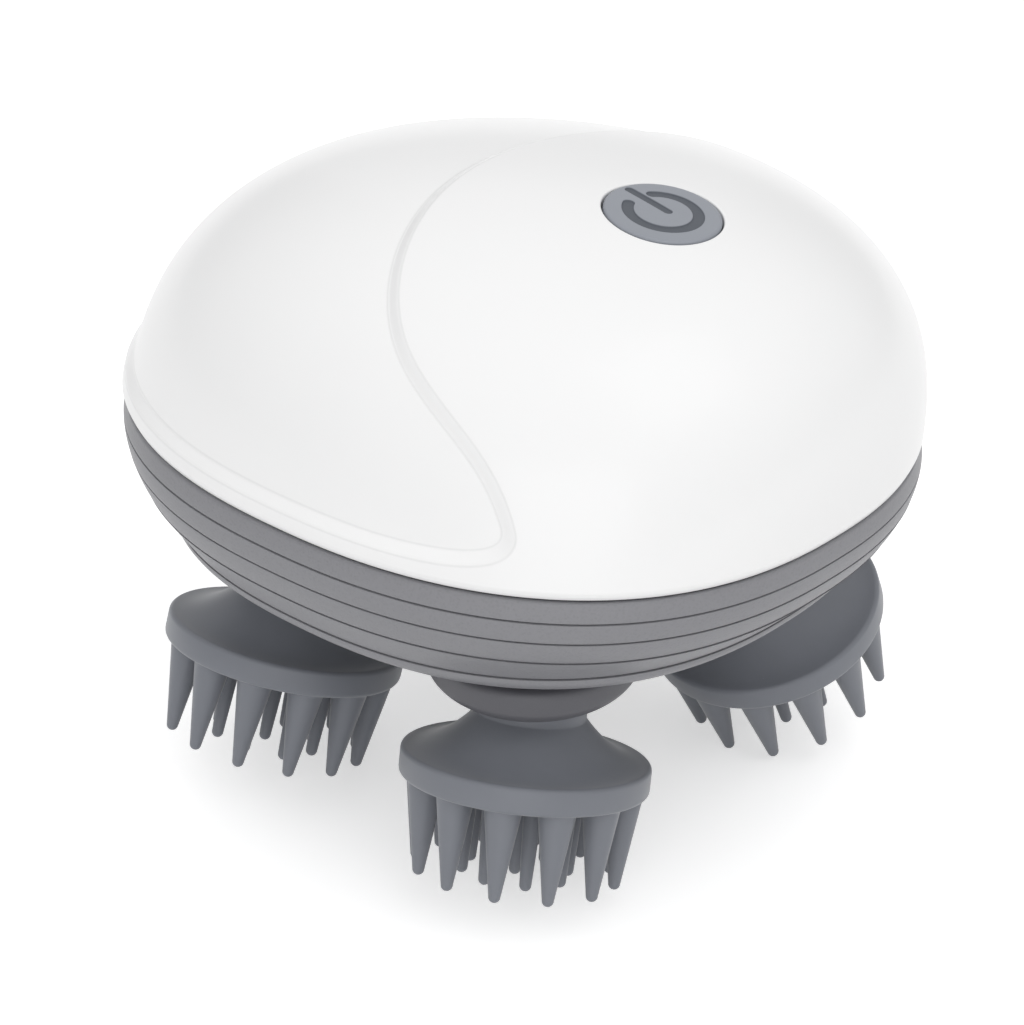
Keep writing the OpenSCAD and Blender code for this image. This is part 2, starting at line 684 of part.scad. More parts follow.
module battery() {
    color("steelblue") placed() translate([-battery_l / 2, battery_y, battery_z]) rotate([0, 90, 0]) {
        cylinder(r = battery_r, h = battery_l - 1.4);
        cylinder(r = battery_r - 1, h = battery_l - 0.9);
        cylinder(r = 3.1, h = battery_l);
    }
}

// ---- Button, its housing, its board and its switch ----
flange_top = -3.6;
flange_t = 1;
stem_low = -8;
board_top = -12;
board_t = 1.6;
housing_in_r = button_r + 1.95;
housing_out_r = housing_in_r + 1.8;
bracket_t = 2;
switch_top = stem_low - button_travel - 0.1;
module power_button() {
    color(slate) placed() in_button() {
        rotate_extrude($fn = 96) polygon([[0, stem_low], [1.8, stem_low], [1.8, flange_top - flange_t],
            [button_r + 1.6, flange_top - flange_t], [button_r + 1.6, flange_top], [button_r, flange_top],
            [button_r, -0.45], [button_r - 0.15, -0.2], [button_r - 0.5, -0.05],
            [button_r * 0.5, 0.1], [0, 0.15]]);
    }
}
module button_housing() {
    color(dark_grey) placed() in_button() translate([0, 0, board_top]) difference() {
        cylinder(r = housing_out_r, h = -4.3 - board_top);
        translate([0, 0, -1]) cylinder(r = housing_in_r, h = 20);
    }
}
module button_board() {
    color(board_green) placed() in_button() translate([0, 0, board_top - board_t])
        rotate([0, 0, -button_dir]) translate([-14, -13, 0]) cube([28, 26, board_t]);
}
module tact_switch() {
    color(steel) placed() in_button() {
        translate([-3, -3, board_top]) cube([6, 6, 2.2]);
        translate([0, 0, board_top + 2.1]) cylinder(r = 1.7, h = switch_top - board_top - 2.1);
    }
}
module button_bracket() {
    bottom = board_top - board_t - bracket_t;
    color(grey) placed() difference() {
        union() {
            in_button() rotate([0, 0, -button_dir]) translate([-16, -15.5, bottom])
                cube([32, 31, bracket_t]);
            intersection() {
                for (sx = [-1, 1], sy = [-1, 1])
                    translate([button_xy[0] + sx * 11.5, battery_y + sy * 11.2, frame_top])
                        cylinder(r = 1.6, h = 40);
                in_button() translate([-40, -40, bottom - 60]) cube([80, 80, 60.5]);
            }
        }
    }
}

// ---- Charging socket ----
socket_w = 8.9;
socket_h = 3.2;
socket_l = 7.3;
socket_board_t = 1.2;
socket_board_z = frame_z - 5.2;
// The socket's mouth lies this far inside the outline, and the board reaches this far behind the socket
socket_in = 0.9;
socket_y = half_l - socket_in - socket_l;
board_back = 6.6;
socket_board_y = socket_y - board_back;
socket_board_w = 18;
socket_board_l = 9.5;
socket_z = socket_board_z + socket_board_t + socket_h / 2;
module slot_shape(grow) {
    r = socket_h / 2 + grow;
    w = socket_w / 2 - socket_h / 2;
    union() {
        translate([-w, 0]) circle(r = r);
        translate([w, 0]) circle(r = r);
        translate([-w, -r]) square([2 * w, 2 * r]);
    }
}
module charging_board() {
    color(board_green) placed() translate([-socket_board_w / 2, socket_board_y, socket_board_z])
        cube([socket_board_w, socket_board_l, socket_board_t]);
}
module charging_socket() {
    color(steel) placed() union() {
        translate([0, socket_y, socket_z]) rotate([-90, 0, 0]) difference() {
            linear_extrude(height = socket_l) slot_shape(0);
            translate([0, 0, 1]) linear_extrude(height = socket_l) slot_shape(-0.35);
        }
        translate([-3.3, socket_y + 0.5, socket_z - 0.35]) cube([6.6, socket_l - 1.6, 0.7]);
    }
}

upper_shell();
seam_gasket();
lower_shell();
underside_plate();
power_button();
button_housing();
button_board();
tact_switch();
button_bracket();
collar(FRONT);  // collar_front
collar(RIGHT);  // collar_right
collar(LEFT);  // collar_left
collar(REAR);  // collar_rear
massage_head(FRONT);  // massage_head_front
massage_head(RIGHT);  // massage_head_right
massage_head(LEFT);  // massage_head_left
massage_head(REAR);  // massage_head_rear
head_core(FRONT);  // head_core_front
head_core(RIGHT);  // head_core_right
head_core(LEFT);  // head_core_left
head_core(REAR);  // head_core_rear
crank_shaft(FRONT);  // crank_shaft_front
crank_shaft(RIGHT);  // crank_shaft_right
crank_shaft(LEFT);  // crank_shaft_left
crank_shaft(REAR);  // crank_shaft_rear
crank_gear(FRONT);  // crank_gear_front
crank_gear(RIGHT);  // crank_gear_right
crank_gear(LEFT);  // crank_gear_left
crank_gear(REAR);  // crank_gear_rear
shaft_bush(FRONT);  // shaft_bush_front
shaft_bush(RIGHT);  // shaft_bush_right
shaft_bush(LEFT);  // shaft_bush_left
shaft_bush(REAR);  // shaft_bush_rear
shaft_seal(FRONT);  // shaft_seal_front
shaft_seal(RIGHT);  // shaft_seal_right
shaft_seal(LEFT);  // shaft_seal_left
shaft_seal(REAR);  // shaft_seal_rear
inner_frame();
centre_pin();
centre_wheel();
pinion();
motor_shaft();
motor();
battery();
charging_board();
charging_socket();
frame_screws();
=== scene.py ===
"""Looks of the electric scalp massager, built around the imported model.

The housing, the button, the collars and the silicone heads get finely meshed skins
that stand for their CAD nodes. The inner pieces keep their CAD meshes and get finishes.
Sizes are in millimetres, like the part's source, and meshes are made in metres.
"""

import json
import logging
import math
from dataclasses import dataclass, field
from enum import Enum
from typing import Callable, Sequence

import bpy
import numpy as np
from mathutils import Matrix, Vector


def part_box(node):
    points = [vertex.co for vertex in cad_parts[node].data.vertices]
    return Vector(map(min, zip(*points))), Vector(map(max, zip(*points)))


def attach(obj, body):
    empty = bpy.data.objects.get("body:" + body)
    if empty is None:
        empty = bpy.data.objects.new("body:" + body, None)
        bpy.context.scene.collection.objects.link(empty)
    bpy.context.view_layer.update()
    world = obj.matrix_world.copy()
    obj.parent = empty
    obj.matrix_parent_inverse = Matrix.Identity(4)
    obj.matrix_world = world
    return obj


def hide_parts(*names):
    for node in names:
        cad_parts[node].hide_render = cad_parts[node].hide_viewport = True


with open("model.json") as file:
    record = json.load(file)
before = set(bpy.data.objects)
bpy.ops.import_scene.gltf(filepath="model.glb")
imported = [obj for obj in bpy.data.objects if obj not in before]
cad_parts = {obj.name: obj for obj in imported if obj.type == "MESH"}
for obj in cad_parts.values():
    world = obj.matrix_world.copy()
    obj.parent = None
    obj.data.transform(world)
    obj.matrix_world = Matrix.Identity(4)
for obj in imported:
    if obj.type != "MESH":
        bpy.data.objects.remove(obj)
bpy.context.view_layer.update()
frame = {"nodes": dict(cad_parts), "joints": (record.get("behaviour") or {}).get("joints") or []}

log = logging.getLogger("massager")

MM = 0.001
TINY = 1e-9
Point2 = tuple[float, float]
Colour = tuple[float, float, float]


class Head(Enum):
    """The four heads, named by where they stand in the photograph."""

    FRONT = "front"
    RIGHT = "right"
    LEFT = "left"
    REAR = "rear"


# which way each head slants and how far its fingers are turned, in degrees
HEAD_ANGLES: dict[Head, Point2] = {
    Head.FRONT: (206.0, -4.6), Head.RIGHT: (-10.0, 20.4),
    Head.LEFT: (182.5, 3.8), Head.REAR: (20.0, 5.0)}


# --------------------------------------------------------------------------- shader toolkit
class Nodes:
    """The node tree of a material or a world, with helpers that add nodes."""

    def __init__(self, tree: bpy.types.NodeTree) -> None:
        """Wraps a tree."""
        self.tree = tree

    def node(self, kind: str, settings: dict | None = None, inputs: dict | None = None,
             output: int | str = 0) -> "Socket":
        """Adds a node, sets it up and links it.

        Args:
            kind: Blender's node type.
            settings: The node's attributes, which are set first.
            inputs: Values or Sockets by input name or number.
            output: Which output to hand back.

        Returns:
            The chosen output, wrapped.
        """
        made = self.tree.nodes.new(kind)
        for key, value in (settings or {}).items():
            setattr(made, key, value)
        for key, value in (inputs or {}).items():
            self.feed(made.inputs[key], value)
        return Socket(self, made.outputs[output])

    def feed(self, target: bpy.types.NodeSocket, value: object) -> None:
        """Links a Socket to an input, or sets the input's own value.

        Args:
            target: The input.
            value: A Socket, a number, or a tuple.
        """
        if isinstance(value, Socket):
            self.tree.links.new(value.socket, target)
        elif isinstance(value, tuple) and target.type == "RGBA":
            target.default_value = (*value[:3], 1.0)
        else:
            target.default_value = value

    def mix(self, factor: "Socket | float", a: "Socket | Colour", b: "Socket | Colour") -> "Socket":
        """Mixes two colours.

        Args:
            factor: 0 gives a, 1 gives b.
            a: First colour.
            b: Second colour.

        Returns:
            The mixed colour.
        """
        return self.node("ShaderNodeMix", {"data_type": "RGBA"}, {0: factor, 6: a, 7: b}, output=2)

    def axes(self, vector: "Socket") -> tuple["Socket", "Socket", "Socket"]:
        """Splits a vector into X, Y and Z."""
        split = self.node("ShaderNodeSeparateXYZ", inputs={0: vector}).socket.node
        return tuple(Socket(self, output) for output in split.outputs)


class Shader(Nodes):
    """One material with a Principled surface."""

    def __init__(self, name: str) -> None:
        """Makes an empty material.

        Args:
            name: The material's name.
        """
        self.material = bpy.data.materials.new(name)
        self.material.use_nodes = True
        super().__init__(self.material.node_tree)
        self.surface = self.tree.nodes["Principled BSDF"]

    def set(self, **values: object) -> None:
        """Sets or links inputs of the Principled surface.

        Args:
            **values: Inputs by name, with underscores for spaces.
        """
        for key, value in values.items():
            self.feed(self.surface.inputs[key.replace("_", " ")], value)

    def place(self) -> "Socket":
        """Object coordinates, in metres."""
        return self.node("ShaderNodeTexCoord", output="Object")

    def attribute(self, name: str) -> "Socket":
        """The number of this name that a mesh keeps at its points; 0 where it has none."""
        return self.node("ShaderNodeAttribute", {"attribute_name": name}, output="Fac")

    def noise(self, size_mm: float, detail: float = 2.0, rough: float = 0.5,
              at: "Socket | None" = None) -> "Socket":
        """Noise between 0 and 1.

        Args:
            size_mm: Size of its features.
            detail: Octaves.
            rough: How strong the finer octaves are.
            at: Coordinates, or None for object coordinates.

        Returns:
            The noise value.
        """
        return self.node("ShaderNodeTexNoise", {}, {
            "Vector": at or self.place(), "Scale": 1.0 / (size_mm * MM),
            "Detail": detail, "Roughness": rough})

    def cells(self, size_mm: float) -> "Socket":
        """Distance, in cells of this size, to the nearest of scattered points."""
        return self.node("ShaderNodeTexVoronoi", {"feature": "F1"}, {
            "Vector": self.place(), "Scale": 1.0 / (size_mm * MM)})

    def stretched(self, along: tuple[float, float, float]) -> "Socket":
        """Object coordinates scaled along each axis."""
        return self.node("ShaderNodeVectorMath", {"operation": "MULTIPLY"},
                         {0: self.place(), 1: along})

    def bump(self, *layers: tuple["Socket", float]) -> None:
        """Stacks bumps onto the surface.

        Args:
            *layers: Each a height between 0 and 1 and its depth in millimetres.
        """
        normal = None
        for height, depth_mm in layers:
            inputs = {"Height": height, "Strength": 1.0, "Distance": depth_mm * MM}
            if normal is not None:
                inputs["Normal"] = normal
            normal = self.node("ShaderNodeBump", {}, inputs)
        self.set(Normal=normal)


class Socket:
    """A shader socket that Python's operators turn into Math nodes."""

    def __init__(self, nodes: Nodes, socket: bpy.types.NodeSocket) -> None:
        """Wraps a socket of a tree."""
        self.nodes = nodes
        self.socket = socket

    def _math(self, operation: str, *values: "Socket | float") -> "Socket":
        """Adds a Math node on these values."""
        return self.nodes.node("ShaderNodeMath", {"operation": operation},
                               dict(enumerate(values)))

    def __add__(self, other: "Socket | float") -> "Socket":
        """Sum."""
        return self._math("ADD", self, other)

    __radd__ = __add__

    def __sub__(self, other: "Socket | float") -> "Socket":
        """Difference."""
        return self._math("SUBTRACT", self, other)

    def __rsub__(self, other: float) -> "Socket":
        """Reflected difference."""
        return self._math("SUBTRACT", other, self)

    def __mul__(self, other: "Socket | float") -> "Socket":
        """Product."""
        return self._math("MULTIPLY", self, other)

    __rmul__ = __mul__

    def __pow__(self, power: float) -> "Socket":
        """Power."""
        return self._math("POWER", self, power)

    def __abs__(self) -> "Socket":
        """Absolute value."""
        return self._math("ABSOLUTE", self)

    def high(self, other: "Socket | float") -> "Socket":
        """The larger of two values."""
        return self._math("MAXIMUM", self, other)

    def wave(self) -> "Socket":
        """Sine of the value, brought to between 0 and 1."""
        return self._math("SINE", self) * 0.5 + 0.5

    def step(self, start: float, end: float) -> "Socket":
        """Goes smoothly from 0 at start to 1 at end.

        Args:
            start: Value that gives 0.
            end: Value that gives 1.

        Returns:
            The eased value.
        """
        return self.nodes.node("ShaderNodeMapRange", {"interpolation_type": "SMOOTHSTEP"}, {
            "Value": self, "From Min": start, "From Max": end, "To Min": 0.0, "To Max": 1.0})


def srgb(red: float, green: float, blue: float) -> Colour:
    """Linear colour from the 0 to 255 values of a picture."""
    return tuple(c / 12.92 if c <= 0.04045 else ((c + 0.055) / 1.055) ** 2.4
                 for c in (red / 255, green / 255, blue / 255))


def scaled(colour: Colour, share: float) -> Colour:
    """The colour times a share."""
    return tuple(c * share for c in colour)


# --------------------------------------------------------------------------- finishes
@dataclass(frozen=True)
class Finish:
    """What every finish has. Subclasses dress the surface."""

    name: str
    colour: Colour
    roughness: float = 0.4

    def dress(self, shader: Shader) -> None:
        """Adds this finish's nodes."""
        raise NotImplementedError

    def material(self) -> bpy.types.Material:
        """Makes the finish's material, or finds the one that was made before.

        Returns:
            The material.
        """
        made = bpy.data.materials.get(self.name)
        if made is None:
            shader = Shader(self.name)
            self.dress(shader)
            made = shader.material
        return made


@dataclass(frozen=True)
class GlossPlastic(Finish):
    """Polished moulded plastic: a faint orange peel under a clear gloss, with handling marks."""

    cloud_mm: float = 22.0
    peel_mm: float = 2.4
    peel_depth_mm: float = 0.0022
    hair_mm: float = 0.35
    hair_stretch: tuple[float, float, float] = (1.0, 0.06, 0.35)
    rubbed_mm: float = 9.0
    wall_half_mm: float = 1.0
    crease_half_mm: float = 0.24
    crease_depth_mm: float = 0.02
    # how strongly painted shade darkens the colour along the creases
    crease_shade_share: float = 0.55
    coat: float = 0.12
    coat_roughness: float = 0.16
    ior: float = 1.42

    def dress(self, shader: Shader) -> None:
        """Adds clouds, orange peel, handling marks, and fine creases beside the panel's wall: a
        shallow groove in the bump and painted shade that darkens the colour along them.

        Args:
            shader: The shader of the new material.
        """
        cloud = shader.noise(self.cloud_mm, detail=3.0, rough=0.5)
        peel = shader.noise(self.peel_mm, detail=2.0, rough=0.45)
        along = shader.stretched(self.hair_stretch)
        hair = shader.noise(self.hair_mm, detail=1.0, rough=0.5, at=along)
        marks = hair.step(0.7, 0.82) * shader.noise(self.rubbed_mm).step(0.5, 0.75)
        # the creases lie at the top and the foot of the panel's wall; they get a shallow groove in
        # the bump and painted shade in the colour
        off = abs(abs(shader.attribute("panel_mm")) - self.wall_half_mm)
        crease_and_shade = 1.0 - off.step(0.02, self.crease_half_mm)
        base = shader.mix(cloud, scaled(self.colour, 0.985), self.colour)
        # painted shade: the colour darkens towards this along the creases
        dark = scaled(self.colour, 0.86)
        shader.set(Base_Color=shader.mix(crease_and_shade * self.crease_shade_share, base, dark),
                   Roughness=self.roughness + cloud * 0.05 + marks * 0.02,
                   Coat_Weight=self.coat, Coat_Roughness=self.coat_roughness, IOR=self.ior)
        shader.bump((1.0 - crease_and_shade, self.crease_depth_mm), (peel, self.peel_depth_mm))


@dataclass(frozen=True)
class GrainedPlastic(Finish):
    """Moulded plastic with a fine spark-eroded grain."""

    grain_mm: float = 0.3
    grain_depth_mm: float = 0.012
    # how far the colour moves with the painted shade on the grain and with the slow tone
    shift: float = 0.08
    pit_share: float = 1.7
    pit_depth_share: float = 0.7
    tone_mm: float = 30.0
    ior: float = 1.5

    def dress(self, shader: Shader) -> None:
        """Adds the grain, with painted shade and highlight on it, darker in its pits and lighter on
        its tops, and slow changes of tone.

        Args:
            shader: The shader of the new material.
        """
        grain = shader.noise(self.grain_mm, detail=3.0, rough=0.62)
        pits = shader.cells(self.grain_mm * self.pit_share).step(0.1, 0.55)
        tone = shader.noise(self.tone_mm, detail=2.0, rough=0.5)
        # painted shade and highlight: the colour follows the grain's relief, darker in the pits and
        # lighter on the tops; the slow tone is the plastic's own
        shade = (grain * 0.7 + pits * 0.3) * 0.65 + tone * 0.35
        dark, light = scaled(self.colour, 1 - self.shift), scaled(self.colour, 1 + self.shift)
        shader.set(Base_Color=shader.mix(shade, dark, light), IOR=self.ior,
                   Roughness=self.roughness + (grain - 0.5) * 0.16 + (tone - 0.5) * 0.06)
        shader.bump((pits, self.grain_depth_mm * self.pit_depth_share),
                    (grain, self.grain_depth_mm))


@dataclass(frozen=True)
class Silicone(Finish):
    """Soft moulded silicone: dull, with a velvety sheen and a few specks of dust."""

    skin_mm: float = 0.5
    skin_depth_mm: float = 0.006
    smear_mm: float = 6.0
    smear_depth_mm: float = 0.01
    speck_gap_mm: float = 2.3
    sheen: float = 0.25
    sheen_roughness: float = 0.4
    ior: float = 1.42

    def dress(self, shader: Shader) -> None:
        """Adds slow smears, specks and a faint skin.

        Args:
            shader: The shader of the new material.
        """
        skin = shader.noise(self.skin_mm, detail=3.0, rough=0.55)
        smear = shader.noise(self.smear_mm, detail=3.0, rough=0.6)
        specks = 1.0 - shader.cells(self.speck_gap_mm).step(0.02, 0.06)
        base = shader.mix(smear, scaled(self.colour, 0.95), scaled(self.colour, 1.05))
        shader.set(Base_Color=shader.mix(specks * 0.1, base, scaled(self.colour, 2.0)),
                   Roughness=self.roughness + (smear - 0.5) * 0.14 + specks * 0.1, IOR=self.ior,
                   Sheen_Weight=self.sheen, Sheen_Roughness=self.sheen_roughness)
        shader.bump((smear, self.smear_depth_mm), (skin, self.skin_depth_mm))


@dataclass(frozen=True)
class Rubber(Finish):
    """Dull sealing rubber."""

    tooth_mm: float = 0.25
    tooth_depth_mm: float = 0.01
    dust_mm: float = 4.0

    def dress(self, shader: Shader) -> None:
        """Adds a fine tooth and dusty patches.

        Args:
            shader: The shader of the new material.
        """
        tooth = shader.noise(self.tooth_mm, detail=3.0, rough=0.6)
        dust = shader.noise(self.dust_mm, detail=3.0, rough=0.6).step(0.5, 0.8)
        shader.set(Base_Color=shader.mix(dust * 0.5, self.colour, scaled(self.colour, 1.6)),
                   Roughness=self.roughness + tooth * 0.12)
        shader.bump((tooth, self.tooth_depth_mm))


@dataclass(frozen=True)
class Metal(Finish):
    """Ground or drawn metal with fine lines, or sintered metal with pores."""

    grind: tuple[float, float, float] = (1.0, 1.0, 0.04)
    pores: float = 0.0
    line_mm: float = 0.09
    line_depth_mm: float = 0.002
    tarnish_mm: float = 5.0
    pore_gap_mm: float = 0.45
    pore_depth_mm: float = 0.01
    least_depth_mm: float = 0.0005

    def dress(self, shader: Shader) -> None:
        """Adds the grinding lines, pores and faint tarnish.

        Args:
            shader: The shader of the new material.
        """
        along = shader.stretched(self.grind)
        lines = shader.noise(self.line_mm, detail=2.0, rough=0.6, at=along)
        tarnish = shader.noise(self.tarnish_mm, detail=3.0, rough=0.55)
        holes = 1.0 - shader.cells(self.pore_gap_mm).step(0.12, 0.3)
        roughness = self.roughness + (lines - 0.5) * 0.16 + tarnish * 0.08
        shader.set(Base_Color=shader.mix(tarnish, scaled(self.colour, 0.86), self.colour),
                   Metallic=1.0 - holes * (0.5 * self.pores),
                   Roughness=roughness + holes * (0.3 * self.pores))
        shader.bump((lines, self.line_depth_mm),
                    (1.0 - holes, self.pore_depth_mm * self.pores + self.least_depth_mm))


@dataclass(frozen=True)
class CircuitBoard(Finish):
    """Solder mask over tracks, with a tinned copper grid of points."""

    pitch_mm: float = 2.54
    tin: Colour = (0.62, 0.6, 0.55)
    wander_mm: float = 7.0
    smear_mm: float = 3.0
    track_depth_mm: float = 0.035
    dot_depth_mm: float = 0.05

    def dress(self, shader: Shader) -> None:
        """Adds the tracks and the points.

        Args:
            shader: The shader of the new material.
        """
        x, y, _ = shader.axes(shader.place())
        turn = 2 * math.pi / (self.pitch_mm * MM)
        tracks = ((x * turn).wave() + shader.noise(self.wander_mm) * 0.8).step(0.86, 0.92)
        dots = ((x * turn).wave() * (y * turn).wave()).step(0.93, 0.96)
        mask = shader.mix(tracks * 0.6, self.colour, scaled(self.colour, 1.9))
        smear = shader.noise(self.smear_mm)
        shader.set(Base_Color=shader.mix(dots, mask, self.tin), Metallic=dots * 0.9,
                   Roughness=self.roughness + dots * 0.05 + smear * 0.08)
        shader.bump((tracks, self.track_depth_mm), (dots, self.dot_depth_mm))


@dataclass(frozen=True)
class ShrinkWrap(Finish):
    """Glossy shrink sleeve of a cell, with fine puckers along its ends."""

    half_length_mm: float = 32.5
    end_mm: float = 4.0
    pucker_mm: float = 0.7
    pucker_depth_mm: float = 0.12
    pucker_stretch: tuple[float, float, float] = (0.12, 1.0, 1.0)
    wave_mm: float = 8.0
    wave_depth_mm: float = 0.03
    coat: float = 0.3

    def dress(self, shader: Shader) -> None:
        """Adds puckers near the ends and soft waves along the sleeve.

        Args:
            shader: The shader of the new material.
        """
        x, _, _ = shader.axes(shader.place())
        ends = abs(x).step((self.half_length_mm - self.end_mm) * MM, self.half_length_mm * MM)
        along = shader.stretched(self.pucker_stretch)
        puckers = shader.noise(self.pucker_mm, detail=2.0, rough=0.5, at=along)
        wave = shader.noise(self.wave_mm, detail=2.0)
        shader.set(Base_Color=shader.mix(ends * puckers, self.colour, scaled(self.colour, 0.6)),
                   Roughness=self.roughness + wave * 0.08 + ends * 0.15, Coat_Weight=self.coat)
        shader.bump((puckers * ends, self.pucker_depth_mm), (wave, self.wave_depth_mm))


@dataclass(frozen=True)
class ButtonCap(Finish):
    """Satin button with a power sign whose floor is darker and sunk."""

    mark_colour: Colour = (0.08, 0.09, 0.1)
    mark: "PowerMark | None" = None
    grain_mm: float = 0.22
    grain_depth_mm: float = 0.006
    tone_mm: float = 5.0
    ior: float = 1.5

    def dress(self, shader: Shader) -> None:
        """Adds the grain and the sign's darker floor.

        Args:
            shader: The shader of the new material.
        """
        x, y, _ = shader.axes(shader.place())
        inside = self.mark.shade(x, y)
        grain = shader.noise(self.grain_mm, detail=3.0, rough=0.6)
        tone = shader.noise(self.tone_mm, detail=2.0, rough=0.5)
        dark, light = scaled(self.colour, 0.93), scaled(self.colour, 1.07)
        top = shader.mix(grain * 0.6 + tone * 0.4, dark, light)
        shader.set(Base_Color=shader.mix(inside, top, self.mark_colour), IOR=self.ior,
                   Roughness=self.roughness + (grain - 0.5) * 0.12 + inside * 0.1)
        shader.bump((grain, self.grain_depth_mm))


@dataclass(frozen=True)
class PowerMark:
    """The generic power sign: an open ring with a bar, in millimetres on the button's face."""

    ring_r: float = 4.85
    stroke: float = 1.6
    bar_stroke: float = 1.3
    opening_deg: float = 28.5
    bar_low: float = -0.3
    bar_high: float = 6.8
    bar_aside: float = 0.55
    turn_deg: float = 57.0
    depth: float = 0.2
    wall_half: float = 0.09
    blur_in: float = 0.04
    blur_out: float = 0.08
    blur_gap: float = 0.01

    @property
    def turn(self) -> Point2:
        """Cosine and sine of the sign's turn."""
        return math.cos(math.radians(self.turn_deg)), math.sin(math.radians(self.turn_deg))

    def distance(self, x: np.ndarray, y: np.ndarray) -> np.ndarray:
        """Distance from the strokes' edges, below 0 inside them.

        Args:
            x: Places across the sign, in millimetres.
            y: Places along the sign's bar, in millimetres.

        Returns:
            Distances in millimetres.
        """
        c, s = self.turn
        u, v = x * c + y * s, y * c - x * s
        half = math.radians(self.opening_deg)
        end = self.ring_r * np.array([math.sin(half), math.cos(half)])
        angle = np.abs(np.arctan2(u, v))
        on_ring = np.abs(np.hypot(u, v) - self.ring_r)
        at_end = np.hypot(np.abs(u) - end[0], v - end[1])
        ring = np.where(angle >= half, on_ring, at_end) - self.stroke / 2
        bar = np.hypot(u - self.bar_aside, v - np.clip(v, self.bar_low, self.bar_high))
        return np.minimum(ring, bar - self.bar_stroke / 2)

    def sunk(self, x: np.ndarray, y: np.ndarray) -> np.ndarray:
        """How far the face is sunk, in millimetres."""
        edge = np.clip((self.wall_half - self.distance(x, y)) / (2 * self.wall_half), 0, 1)
        return self.depth * edge * edge * (3 - 2 * edge)

    def shade(self, x: Socket, y: Socket) -> Socket:
        """The strokes as a mask in the button's own coordinates, in metres.

        Args:
            x: Place across the button.
            y: Place along the button.

        Returns:
            1 in the strokes and 0 outside.
        """
        c, s = (part / MM for part in self.turn)
        u, v = x * c + y * s, y * c - x * s
        half = math.radians(self.opening_deg)
        sine, cosine = math.sin(half), math.cos(half)
        gap = (v - abs(u) * (cosine / sine)).step(-self.blur_gap, self.blur_gap)
        on_ring = abs((u * u + v * v) ** 0.5 - self.ring_r)
        off_u, off_v = abs(u) - self.ring_r * sine, v - self.ring_r * cosine
        at_end = (off_u * off_u + off_v * off_v) ** 0.5
        past = (v - self.bar_high).high(self.bar_low - v).high(0.0)
        aside = u - self.bar_aside
        ring = self.stroked(on_ring * (1.0 - gap) + at_end * gap, self.stroke)
        return ring.high(self.stroked((aside * aside + past * past) ** 0.5, self.bar_stroke))

    def stroked(self, away: Socket, stroke: float) -> Socket:
        """1 where a point is nearer to a line than half its stroke, blurred at the edge."""
        return 1.0 - away.step(stroke / 2 - self.blur_in, stroke / 2 + self.blur_out)


# --------------------------------------------------------------------------- mesh toolkit
def spow(value: np.ndarray, power: np.ndarray | float) -> np.ndarray:
    """A power that keeps the sign."""
    return np.sign(value) * np.abs(value) ** power


def bevelled(value: np.ndarray, soft: float = 0.2) -> np.ndarray:
    """Goes straight from 0 to 1 between 0 and 1, with both corners rounded.

    Args:
        value: What rises.
        soft: Share of the rise that each rounded corner takes.

    Returns:
        Values from 0 to 1.
    """
    v = np.clip(value, 0.0, 1.0)
    low = np.minimum(v, 1.0 - v)
    bent = np.where(low < soft, low * low / (2 * soft), low - soft / 2) / (1.0 - soft)
    return np.where(v <= 0.5, bent, 1.0 - bent)


def round_angles(columns: int) -> np.ndarray:
    """This many angles that go once round, in radians."""
    return np.linspace(0, 2 * math.pi, columns, endpoint=False)


def turned(grid: np.ndarray) -> np.ndarray:
    """Change along each row of a grid whose rows go round."""
    return (np.roll(grid, -1, axis=1) - np.roll(grid, 1, axis=1)) / 2


def ring_faces(rows: int, columns: int, closed: bool = False) -> list[tuple[int, ...]]:
    """Quads between rings of points that go round.

    Args:
        rows: Number of rings.
        columns: Points in a ring.
        closed: Whether the last ring joins the first.

    Returns:
        Faces as point numbers.
    """
    faces = []
    for j in range(rows if closed else rows - 1):
        here, there = j * columns, (j + 1) % rows * columns
        for i in range(columns):
            after = (i + 1) % columns
            faces.append((here + i, here + after, there + after, there + i))
    return faces


@dataclass
class MeshParts:
    """Points and faces gathered from several bodies."""

    points: list[np.ndarray] = field(default_factory=list)
    faces: list[tuple[int, ...]] = field(default_factory=list)
    count: int = 0

    def add(self, points: np.ndarray, faces: Sequence[tuple[int, ...]]) -> None:
        """Adds one body.

        Args:
            points: Its points, in millimetres.
            faces: Its faces, as numbers of its own points.
        """
        self.points.append(points.reshape(-1, 3))
        self.faces.extend(tuple(i + self.count for i in face) for face in faces)
        self.count += len(self.points[-1])

    def add_revolved(self, profile: np.ndarray, columns: int,
                     place: Callable[[np.ndarray], np.ndarray], capped: bool = True) -> None:
        """Adds a profile turned round Z.

        Args:
            profile: Radius and height of each ring.
            columns: Points round.
            place: Moves the points.
            capped: Whether both ends get a face.
        """
        angle = round_angles(columns)
        r, z = profile[:, :1], profile[:, 1:]
        points = np.stack([r * np.cos(angle), r * np.sin(angle), z + 0 * angle], -1)
        rows = len(profile)
        faces = ring_faces(rows, columns)
        if capped:
            faces.append(tuple(reversed(range(columns))))
            faces.append(tuple(range((rows - 1) * columns, rows * columns)))
        self.add(place(points.reshape(-1, 3)), faces)

    def build(self, name: str, sharp_deg: float = 40.0) -> bpy.types.Object:
        """Makes the Blender object.

        Args:
            name: Its name.
            sharp_deg: Edges sharper than this stay sharp.

        Returns:
            The object, in metres.
        """
        mesh = bpy.data.meshes.new(name)
        mesh.from_pydata((np.concatenate(self.points) * MM).tolist(), [], self.faces)
        mesh.validate()
        mesh.polygons.foreach_set("use_smooth", [True] * len(mesh.polygons))
        mesh.set_sharp_from_angle(angle=math.radians(sharp_deg))
        made = bpy.data.objects.new(name, mesh)
        bpy.context.scene.collection.objects.link(made)
        return made


